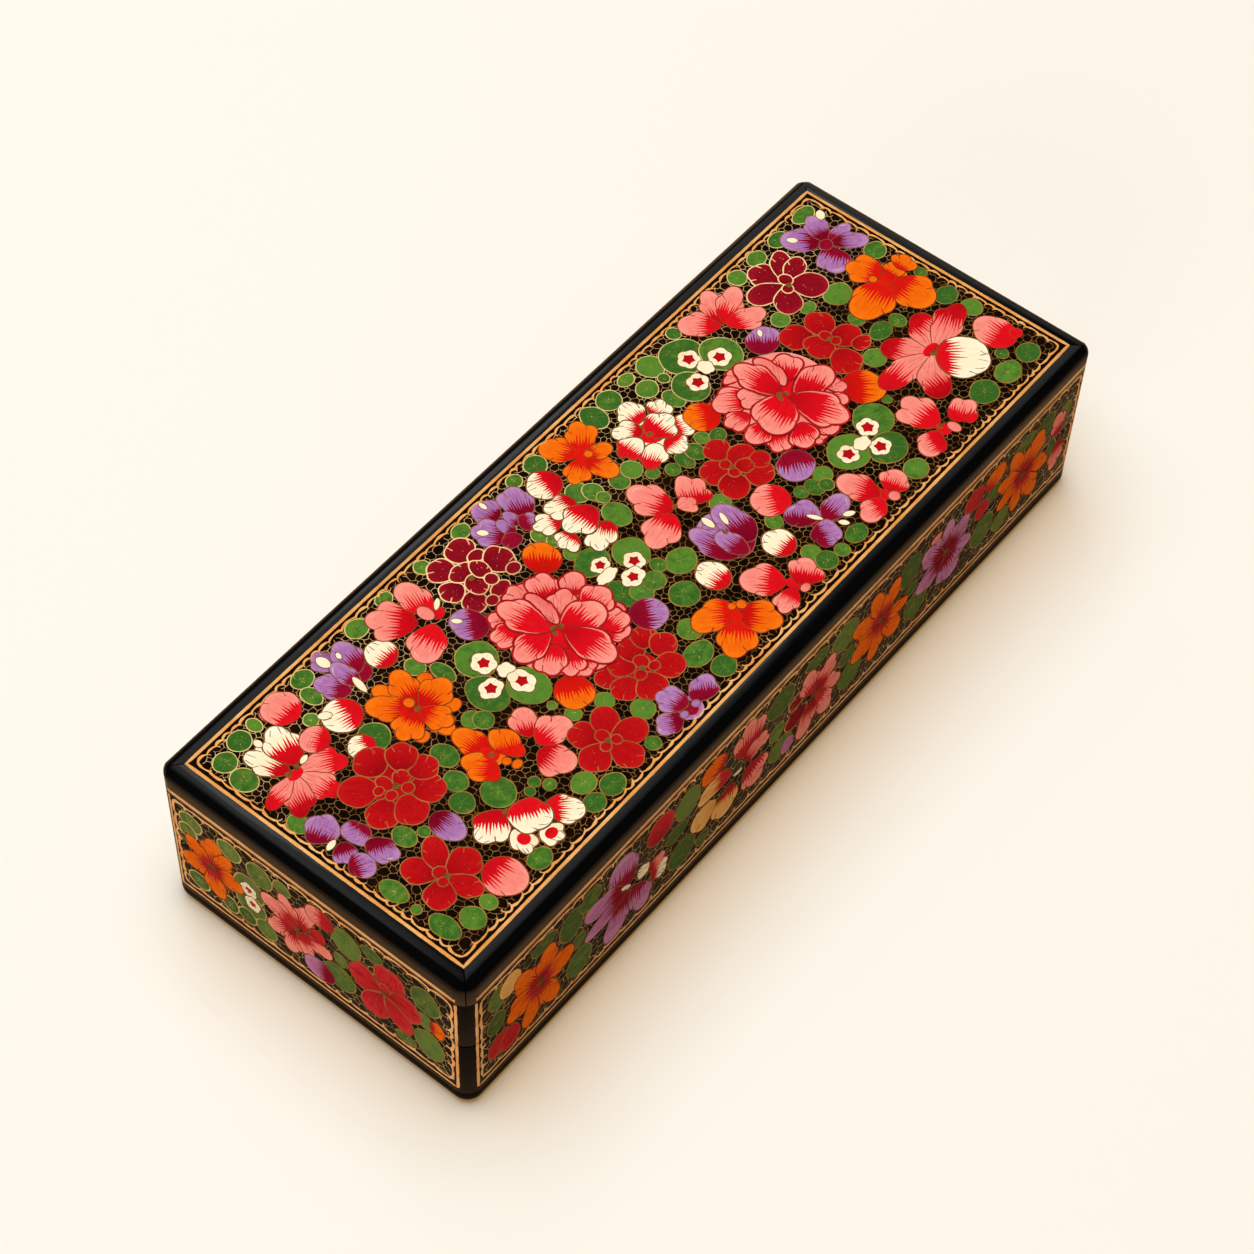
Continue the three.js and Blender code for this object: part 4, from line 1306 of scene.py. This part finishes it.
    ("lavender", (46, -9), [(42.4, -12.4, 9.8, 8.8, 50, 0.5)]),
    ("lavender", (33.3, -28.4), [("plum", 31.4, -27.8, 4, 3.6), (31.2, -23.2, 9.4, 7.6, 215, 0.4),
     (37.6, -27.9, 8.8, 6.8, 180, 0.4), (30.2, -31, 8, 7.2, 150, 0.45), ("bead", 32.2, -25.9, 3.6, 1.6),
     ("bead", 38.6, -31.7, 2.8, 2), ("bead", 35.6, -32.4, 2.4, 1.9)]),
    ("pink", (12, -34.7), [("spot", 12.4, -34.4, 3, 4.6), (8.7, -28.2, 10.2, 9.8, -60, 0.4),
     (7.8, -36.1, 7.6, 5.9, 0, 0.4), (17, -34.2, 7.2, 9.2, -150, 0.45), (13.4, -37.2, 3, 2.2, 0, 0)]),
    ("pink", (48.5, -35.5), [("spot", 49, -34.6, 3.2, 4.4), (46.9, -29, 8.5, 10.4, -75, 0.4),
     (43.8, -35.6, 7.7, 6.8, -20, 0.4), (54, -34.3, 6.5, 8.3, 200, 0.4), (50.4, -37, 3, 3, 0, 0)]),
    ("orange", (-3.6, -29.6), [(-7.6, -25.5, 11.5, 8), (-9.3, -33.8, 10, 9.2), (-0.7, -34, 9, 9.6),
     ("ember", -4.4, -29.8, 3, 2.8), (-2.6, -27, 2, 2, 0, 0), (-0.7, -28.4, 2.6, 2.6, 0, 0)]),
    ("orange", (-44, -11), [(-46.5, -13.8, 8.8, 9.4, 55, 0.5)]),
    ("red", (-52.4, -28.8), [(-54.5, -23.8, 7.6, 7.6), (-48.2, -24.5, 7, 7.2), (-46.5, -31.1, 7.4, 7.6),
     (-52.2, -34.6, 7.6, 7.4), (-57.8, -29.5, 7.2, 8), (-52, -26.8, 3.4, 3.6), (-53.8, -29.4, 2.8, 2.6),
     (-50.6, -30, 2.6, 2.8), ("seed", -52.2, -28.7, 1.6, 1.6)]),
    ("red", (-30.9, -22), [(-37.8, -17.4, 6.6, 6), (-37.9, -22.4, 6.6, 6.6), (-33.5, -17.6, 6, 6.4),
     (-28.4, -16.6, 6.4, 6.4), (-23.6, -16.4, 6, 6), (-22.2, -21.2, 6.4, 6.6), (-26, -26.2, 7.4, 7),
     (-33.4, -26.8, 8, 7), (-29.4, -20.4, 3.6, 4), (-32.6, -22.8, 3.2, 2.8), (-28.4, -23.6, 3, 2.6),
     ("seed", -30.8, -21.9, 1.6, 1.6)]),
    ("lavender", (-20, -9.6), [(-17.2, -13, 8.8, 8.8, 140, 0.5)]),
    ("lavender", (-32.6, -37.6), [(-38.9, -36.7, 6.8, 6, -40, 0.4), (-33.5, -33.1, 7.3, 7.2),
     (-26.2, -36.5, 7.8, 6.4, -130, 0.45), (-34.9, -37.8, 2.2, 1.9, 0, 0),
     (-30.6, -37.9, 2.2, 1.9, 0, 0)])]
paint_flowers(lid_brush, lid_flowers)


# Roses of the lid. Two large pink roses whose ragged petals are drawn with crimson lines, the
# outer ones first and the long inner ones over them.
lid_roses = [
    ((-35.3, 1.1), [(-41.6, 13.4, 6, 5, -60, 0.3), (-33.6, 15, 7.4, 5.4, 0, 0),
     (-44.3, 8.9, 7, 7.4, 0, 0.45), (-27.8, 11.4, 8.2, 8.4, -120, 0.4), (-34, -13.4, 8.6, 3.6, 0, 0),
     (-39.2, -11.2, 6.4, 4.4, 60, 0.3), (-26.4, -10.8, 6.4, 5, 120, 0.4), (-20.8, -6.2, 3.6, 4.6, 0, 0),
     (-24.3, -7.6, 7.4, 7.4, 180, 0.4), (-22.4, 6.8, 7.2, 6.8, -135, 0.25),
     (-22.2, -0.5, 7.8, 9.4, 180, 0.45), (-40.4, -7.5, 7.4, 7.4, 45, 0.5),
     (-42.7, -3.8, 8.8, 7.4, 30, 0.4), (-42.4, 2.4, 10.6, 8.2, 0, 0.55), (-28.8, 5.3, 9, 6.6, 0, 0),
     (-28.8, -1.5, 11.4, 10.6, 180, 0.55), (-33.2, -7.6, 9.4, 13.4, 90, 0.62),
     (-32.6, 7.4, 5, 11.4, 0, 0), (-37.6, 9, 8.8, 13.4, -80, 0.55)]),
    ((58, 4), [(56.4, 17.4, 8.4, 4, 0, 0), (48.8, 12.7, 10, 8.6, -45, 0.4),
     (44.5, 7.6, 6.4, 6.6, 0, 0.35), (69.8, -4.6, 4.6, 5.4, 0, 0), (66.4, -7.6, 5, 5, 120, 0.3),
     (53.4, -11, 5.4, 4, 0, 0), (58, -11, 7, 5, 90, 0.3), (65.8, 8.9, 9.8, 8.2, -140, 0.55),
     (46, -4.4, 6.6, 6.6, 60, 0.45), (44.8, 1, 7.4, 7, 0, 0.5), (51.5, -8, 8.8, 6.8, 60, 0.5),
     (53.6, 9.4, 8.6, 7.4, 0, 0), (67, 1, 12, 8.8, 200, 0.5), (61.2, -5.4, 10.8, 14.6, 110, 0.6),
     (52.6, 1.6, 12, 12.4, 5, 0.5), (63, 10.8, 5, 11.8, 0, 0), (58.4, 11.6, 8.6, 13.2, -85, 0.55)])]
rose_patches = (("pink", 1.2, 27, 29), ("scarlet", 0, 13, 13))
rose_seeds = ((-0.1, 0.7, 1.9), (1.5, -0.3, 1.6), (-0.9, -0.5, 1.2))
for (x, y), petals in lid_roses:
    for colour, shift, wide, high in rose_patches:
        patch = oval(x + shift, y, wide, high, -90, 0, 0.06, 60)
        lid_brush.fill(colour, patch, lid_brush.level(patch), petal_map(x, y, wide, high, -90))
    for petal in petals:
        paint_petal(lid_brush, "rose", (x, y), *petal, pinch=spray_pinch, ragged=0.2, narrow=0.86)
    for dx, dy, wide in rose_seeds:
        paint_petal(lid_brush, "seed", (x, y), x + dx, y + dy, wide, 1.4)


# Net and gold lines of the lid. A straight line along the panel's edge, and inside it a wavy one
# that runs from hook to hook.
net_pitch, net_seed, net_end, net_side = 2.0, 11, 117.4, 39.9
frame_inset, frame_line = 5.25, 0.9
wave_inset, wave_line, wave_seed = 7.15, 0.62, 5
lid_arcs = (3.5, 0.55, 0.8)


def rectangle(inset):
    """The corners of the lid's outline drawn in by an inset, from the front left one."""
    return [(end * (half_length / MM - inset), side * (half_width / MM - inset))
            for end, side in ((-1, -1), (1, -1), (1, 1), (-1, 1))]


paint_net(lid_brush, (-net_end, net_end, -net_side, net_side), net_pitch, net_seed)
lid_brush.line("gold", rectangle(frame_inset), frame_line, 0, line_crest, swell=0.05, closed=True)
paint_wave(lid_brush, rectangle(wave_inset), wave_line, wave_seed, *lid_arcs)


# Painting of the long sides. A frame of gold lines round a row of flowers with their leaves,
# painted across the seam after the lid was put on. Heights are above the floor.
long_leaves = [
    (-114.3, 39, 3.3, 4.7), (-115, 28.3, 3.2, 4.5), (-98, 41.6, 4.5, 2.9), (-88, 37.2, 4.5, 6),
    (-81.3, 40, 4, 4), (-85.5, 26.6, 2.8, 3), (-85, 17, 4.8, 5.5), (-44.7, 37.3, 4.7, 5.8),
    (-48.5, 28.8, 4.4, 2.8), (-46, 17.3, 5.2, 5.7), (-8.3, 39, 5.5, 5.3), (-8.7, 26.7, 3, 3.6),
    (-6.5, 17.6, 4.8, 4.6), (-37.6, 13.8, 2.5, 2.7), (6.3, 41.2, 4.7, 2.7), (18, 38.5, 5.5, 5.4),
    (20, 28, 3.5, 3.2), (22.4, 18.4, 4.9, 5.5), (45.5, 37.4, 4.7, 6), (47.5, 28, 2.5, 2.5),
    (50.8, 18.5, 5, 5.5), (82.5, 33, 3.5, 3), (80, 20.3, 5, 6), (89.4, 16, 3.7, 3.9),
    (95.8, 41, 4.8, 2.5), (105.5, 39, 4.2, 4.5), (115.2, 37, 2.5, 3), (111, 24, 2.5, 3.8)]
long_flowers = [
    ("apricot", (-114, 34), [(-110, 39.6, 7.5, 8.5, 0, 0)]),
    ("orange", (-99.3, 26.4), [(-104.8, 34, 8, 8.3), (-97, 34, 8, 8.3), (-106.5, 25.2, 8.5, 10.5),
     (-91.7, 26.2, 7.5, 10), (-102.2, 17.4, 7.4, 9.6), (-96, 17.2, 6.8, 9.4),
     ("seed", -99.3, 26.4, 2.6, 2.6)]),
    ("red", (-109, 22), [(-114, 17.6, 7.4, 9.4), (-110.4, 15.8, 7.4, 8.8)]),
    ("lavender", (-66, 27), [(-69, 36.6, 12, 11.6, -90, 0.35), (-77.3, 31.8, 10.5, 8.5, 0),
     (-78, 23.8, 8.2, 6.6, 0), (-71, 16.6, 9.4, 10.5, 80), (-62, 17.4, 7.8, 11.5, 90),
     ("bead", -67.8, 28.4, 4, 2)]),
    ("cream", (-58, 25), [(-61, 27.6, 5, 5.5, 0, 0), (-55, 21, 6.5, 8, 180, 0.3)]),
    ("pink", (-58, 25), [(-56, 25.5, 6, 5)]),
    ("red", (-57, 33), [(-55.2, 38.8, 9.6, 9.8)]),
    ("orange", (-31, 37), [(-34.6, 40.2, 9.6, 8)]),
    ("apricot", (-27, 26), [(-33.5, 32, 13.5, 7.6, 0, 0.35), (-37.6, 23.5, 9.2, 10.8, 0, 0),
     (-28.8, 19.8, 10.6, 11, 80, 0.3)]),
    ("pink", (-22, 27), [(-20.8, 37.8, 12.5, 12.2, -90, 0.4), (-17.5, 30.4, 10, 7.2, -150, 0.2),
     (-17.5, 19.8, 10.6, 11, 110, 0.35), ("bead", -24.4, 27.4, 3, 2)]),
    ("lavender", (-6, 17), [(-3.5, 15.5, 5, 6, 0, 0)]),
    ("maroon", (6.5, 26.5), [(-0.6, 24.5, 8, 7.2), (-1.4, 31.6, 5, 5.4)]),
    ("pink", (6.5, 26.5), [(4.1, 33.3, 8, 10), (11, 32, 7.5, 9), (12.6, 24, 9.5, 7.6),
     (11.7, 17.4, 7.6, 8), (4.2, 17.5, 8, 9.8), ("seed", 6.5, 26.6, 2.4, 2.2)]),
    ("orange", (35, 28.5), [(26.3, 33.7, 7.6, 9), (31.5, 38.4, 6.8, 7), (38, 35.4, 7, 9.6),
     (27, 24.5, 7.4, 10.4), (33.2, 18.6, 6.6, 8), (40, 20.5, 6.6, 9.4), (42, 26.3, 6.6, 6),
     ("seed", 34.6, 28.4, 2.4, 2.4)]),
    ("lavender", (62.5, 28), [(55.6, 34.3, 9, 9.4), (62.2, 37, 6, 8), (67.4, 32.5, 9, 9),
     (55.7, 24.6, 9.4, 9.4), (70.3, 24, 7.4, 7), (65.2, 19.6, 10.6, 9.6),
     ("seed", 62.4, 28.2, 2.2, 2.2)]),
    ("pink", (56, 37), [(56.5, 40, 5, 3, 0, 0)]),
    ("red", (76, 34), [(73.3, 39.3, 8.6, 8.6), (78, 31, 6.6, 7)]),
    ("orange", (79, 36), [(82.5, 40, 9, 7.8)]),
    ("orange", (97.5, 27), [(92.5, 36.5, 7, 7), (88.8, 31, 6, 7), (101.5, 34, 10.4, 9.6),
     (90, 24, 6, 7), (106, 23.6, 6, 7.4), (96.2, 18, 6.6, 7.6), (103, 17.2, 6.8, 7.6),
     ("seed", 97.5, 27, 2.4, 2.2)]),
    ("pink", (115, 27), [(112.4, 33.6, 6.4, 9.4), (114.4, 20, 7, 10.6)])]


# Painting of the ends. The same frame round three flowers, with a pair of florets between them.
# The hidden sides repeat the two that face the camera.
end_leaves = [
    (-37.6, 40, 3.6, 3.5), (-39, 35, 2.8, 3.3), (-25.4, 40, 3.7, 3.7), (-16, 38.6, 4.1, 4.6),
    (-8.8, 40.6, 2.7, 2.8), (-20, 28.6, 4.8, 5.6), (-20, 21.4, 4.8, 5), (-21.8, 14.8, 2.9, 3.1),
    (-15.6, 15, 3.3, 3.8), (-37.6, 14.4, 3.4, 3.3), (-27.4, 14.2, 2.6, 3.3), (11, 37, 4.6, 5.8),
    (8.7, 27.4, 2.2, 2.7), (8, 18.6, 4.8, 5.3), (19, 41, 3.3, 2.7), (35, 37.4, 4.5, 5.3),
    (34.6, 28, 3, 3.2), (35.6, 18, 4.6, 6), (28.2, 13, 3.2, 2.1)]
end_florets = [
    (-20.2, 28.2, 5.4, 6, 1.2), (-19.4, 22.8, 5.2, 6.2, 1.1)]
end_flowers = [
    ("orange", (-32.5, 25.7), [(-31.3, 33.8, 7.8, 9), (-27.4, 32.6, 5, 6), (-37, 30.4, 6, 7),
     (-38, 22.6, 6.4, 8.6), (-31.9, 18.4, 7.6, 8.4), (-26.2, 25.6, 6.6, 8),
     ("seed", -32.4, 25.9, 2.2, 2.2)]),
    ("pink", (-4.9, 26.4), [(-2.4, 34, 6.6, 10), (-7.4, 34, 5.6, 7.6), (-11.2, 30, 8, 9),
     (-10.6, 21.6, 7.6, 7.6), (-6.8, 18.6, 6.4, 7.4), (-2.4, 21, 5, 7), (1.2, 25.8, 8.2, 6.4),
     ("blood", 1.8, 30.6, 5, 6), ("seed", -4.9, 26.4, 2, 2)]),
    ("pink", (0, 36), [(2.8, 40, 8.4, 8, 0, 0.5)]),
    ("lavender", (4, 19), [(1.4, 15.4, 9.2, 8.4, 0, 0.4)]),
    ("red", (22, 27), [(24, 34.6, 9.8, 10), (16.2, 27.6, 8.6, 12), (29.2, 27.6, 7.4, 10.4),
     (19, 18.4, 8.6, 9.8), (26.6, 20.2, 6.6, 10), (22.4, 29.4, 3.4, 3.8), ("seed", 22, 27, 2, 2)]),
    ("orange", (37, 28), [(38.4, 28, 4.2, 6.6)])]


# Frame of the sides, in millimetres: the moulding's line, the wavy lines and the upright ones.
# On the long sides the top line climbs a little towards its right end.
upright_inset, upright_line, upright_top = 3.5, 0.8, 46.2
top_line, top_line_width, top_line_climb = 48.0, 1.3, 1.2
bottom_line, bottom_line_width = 7.4, 0.7
wave_drop, wave_bottom, wave_margin, side_wave = 2.9, 10.0, 1.7, 0.85
side_arcs = (5.2, 0.65, 1.1)
side_net_pitch, side_net_margin, side_net_rise = 2.9, 2.2, 0.5
side_growth, side_burn = 1.06, 0.66
sides = (("front", half_length / MM, top_line_climb, long_leaves, [], long_flowers, 17, 23),
         ("left", half_width / MM, 0, end_leaves, end_florets, end_flowers, 18, 24))
for name, half, climb, leaves, florets, flowers, net_seed, wave_seed in sides:
    for brush in side_brushes(name):
        paint_leaves(brush, leaves)
        for floret in florets:
            paint_floret(brush, *floret)
        paint_flowers(brush, flowers, side_growth, side_burn)
        edge, right_top = half - upright_inset, top_line + climb
        net_end = edge - side_net_margin
        field = (-net_end, net_end, wave_bottom + side_net_rise, top_line - wave_drop)
        paint_net(brush, field, side_net_pitch, net_seed)
        brush.line("gold", [(-edge, top_line), (edge, right_top)], top_line_width, 0, line_crest, swell=0.06)
        brush.line("gold", [(-edge, bottom_line), (edge, bottom_line)], bottom_line_width, 0, line_crest)
        for end in (-edge, edge):
            brush.line("gold", [(end, bottom_line), (end, upright_top)], upright_line, 0, line_crest)
        inner = edge - wave_margin
        corners = [(-inner, wave_bottom), (inner, wave_bottom), (inner, right_top - wave_drop),
                   (-inner, top_line - wave_drop)]
        paint_wave(brush, corners, side_wave, wave_seed, *side_arcs)


# Paints. Body colours bound in oil, laid on in strokes that deepen towards the root of a petal,
# and bronze powder in size for the lines. A thin clear varnish covers them all.
varnish_ior = 1.06


def paint_finish(name, body, deep, pale):
    material, wire = new_finish(name, IOR=varnish_ior)
    petal = wire.node("UVMap", uv_map="petal")
    along, aside = petal.part("X"), petal.part("Y")
    tone = wire.node("Attribute", attribute_name="tone", output="Fac")
    stroke = wire.node("CombineXYZ", {"X": 5.0 * aside + 40.0 * tone, "Y": 0.9 * along, "Z": 9.0 * tone})
    streak = wire.noise(1.7, detail=4.0, at=stroke)
    grain = wire.noise(1400.0, detail=4.0)
    rim = (along * along + aside * aside).between(0.45, 1.1)
    first = (0.8 * streak + 0.25 * grain + 0.16 * rim).between(0.36, 0.78).mix(tint(*body), tint(*pale))
    second = (0.26 * along + 0.32 * tone + 0.6 * streak).between(0.42, 1.05).mix(first, tint(*deep))
    return feed(material, second, 0.34 + 0.12 * grain, streak + 0.5 * grain, 0.12, 0.08 * MM)


def leaf_finish(name, body, deep, brown):
    """Green with cloudy darker patches, and brown where the black ground shows through it."""
    material, wire = new_finish(name, IOR=varnish_ior)
    tone = wire.node("Attribute", attribute_name="tone", output="Fac")
    cloud = wire.noise(420.0, detail=4.0, roughness=0.65)
    patch = wire.noise(190.0, detail=3.0)
    grain = wire.noise(1400.0, detail=4.0)
    first = (0.7 * cloud + 0.3 * tone).between(0.36, 0.66).mix(tint(*deep), tint(*body))
    second = (0.6 * patch + 0.4 * grain).between(0.56, 0.72).mix(first, tint(*brown))
    return feed(material, second, 0.36 + 0.12 * grain, cloud + 0.5 * grain, 0.12, 0.08 * MM)


def line_finish(name, colour, pale, painted_glint=None, metal=0.0):
    """Bronze or gold powder in size. Given a glint tint, the lines pale towards the back of the lid: a
    painted glint.
    """
    material, wire = new_finish(name, IOR=varnish_ior, Metallic=metal)
    cloud = wire.noise(130.0, detail=3.0)
    grain = wire.noise(1800.0, detail=4.0)
    base = (0.7 * cloud + 0.3 * grain).between(0.35, 0.68).mix(tint(*colour), tint(*pale))
    if painted_glint:
        # Painted glint: towards the back of the lid the colour is mixed to a pale tint, where the real gold
        # caught the light.
        back = wire.places().part("Y") + 0.024 * cloud
        base = back.between(0.016, 0.046).mix(base, tint(*painted_glint))
    return feed(material, base, 0.36 + 0.16 * grain, grain, 0.15, 0.06 * MM)


petal_paints = {
    "pink": ((242, 125, 111), (228, 84, 80), (248, 152, 135)),
    "scarlet": ((218, 10, 24), (168, 7, 18), (232, 24, 32)),
    "crimson": ((176, 12, 18), (140, 6, 12), (194, 22, 22)),
    "maroon": ((128, 10, 24), (92, 5, 16), (154, 20, 34)),
    "orange": ((236, 97, 7), (216, 74, 5), (246, 118, 18)),
    "vermilion": ((214, 18, 12), (176, 11, 8), (228, 32, 15)),
    "lavender": ((160, 100, 160), (130, 70, 134), (186, 134, 180)),
    "plum": ((134, 7, 34), (98, 3, 22), (160, 17, 48)),
    "cream": ((249, 233, 190), (242, 214, 160), (253, 243, 214)),
    "apricot": ((232, 164, 82), (214, 130, 52), (246, 196, 118)),
    # Side copies of paints, retuned to the light on the sides: painted light and shade.
    "side_lavender": ((180, 104, 150), (146, 66, 112), (206, 140, 180)),
    "side_crimson": ((188, 22, 30), (132, 8, 20), (212, 52, 56)),
    "side_plum": ((140, 10, 34), (96, 4, 20), (166, 24, 50)),
    "umber": ((112, 70, 30), (78, 40, 20), (142, 98, 46))}
leaf_paints = {"green": ((90, 132, 44), (54, 98, 34), (124, 116, 42)),
               # side_green is a copy retuned to the light on the sides: painted light and shade.
               "side_green": ((108, 130, 60), (72, 98, 46), (134, 116, 58))}
# A line paint's third tint, where given, is a painted glint towards the back of the lid.
line_paints = {
    "bronze": ((108, 64, 24), (146, 94, 42)), "copper": ((138, 80, 38), (178, 118, 66)),
    "gilt": ((160, 108, 54), (208, 156, 96), (250, 216, 156)), "russet": ((122, 44, 18), (158, 76, 34)),
    "ruby": ((150, 14, 20), (184, 34, 32)), "mauve": ((112, 66, 52), (150, 104, 80)),
    "leaf_edge": ((128, 98, 40), (176, 138, 68), (228, 194, 122)),
    "leaf_vein": ((118, 140, 52), (160, 164, 78)), "fleck": ((196, 170, 58), (226, 204, 104)),
    "blush": ((252, 186, 168), (255, 222, 206)), "net": ((110, 75, 32), (178, 134, 72), (214, 176, 116)),
    # side_net and side_gold are copies retuned to the light on the sides: painted light and shade.
    "side_net": ((142, 112, 62), (206, 176, 114)), "gold": ((226, 150, 74), (248, 186, 112), None, 0.1),
    "side_gold": ((238, 164, 96), (252, 196, 130))}
paints = {}
for finish, table in ((paint_finish, petal_paints), (leaf_finish, leaf_paints), (line_finish, line_paints)):
    for colour, tints in table.items():
        paints[colour] = finish(f"{colour}_paint", *tints)

for (stem, colour, body), coat in coats.items():
    name = f"{stem}_{colour}"
    mesh = bpy.data.meshes.new(name)
    mesh.from_pydata(coat.points, [], coat.faces)
    order = [0] * len(mesh.loops)
    mesh.loops.foreach_get("vertex_index", order)
    mesh.uv_layers.new(name="petal").data.foreach_set(
        "uv", [share for corner in order for share in coat.petals[corner]])
    mesh.attributes.new("tone", "FLOAT", "POINT").data.foreach_set("value", coat.tones)
    painted = bpy.data.objects.new(name, mesh)
    bpy.context.scene.collection.objects.link(painted)
    finished(painted, body, "painted_top" if stem == "lid_top" else "painted_side", paints[colour])


# Sizes. The CAD's and the visual model's boxes, gathered side by side.
corners = [list(corner) for corner in (*cad_box, *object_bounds())]
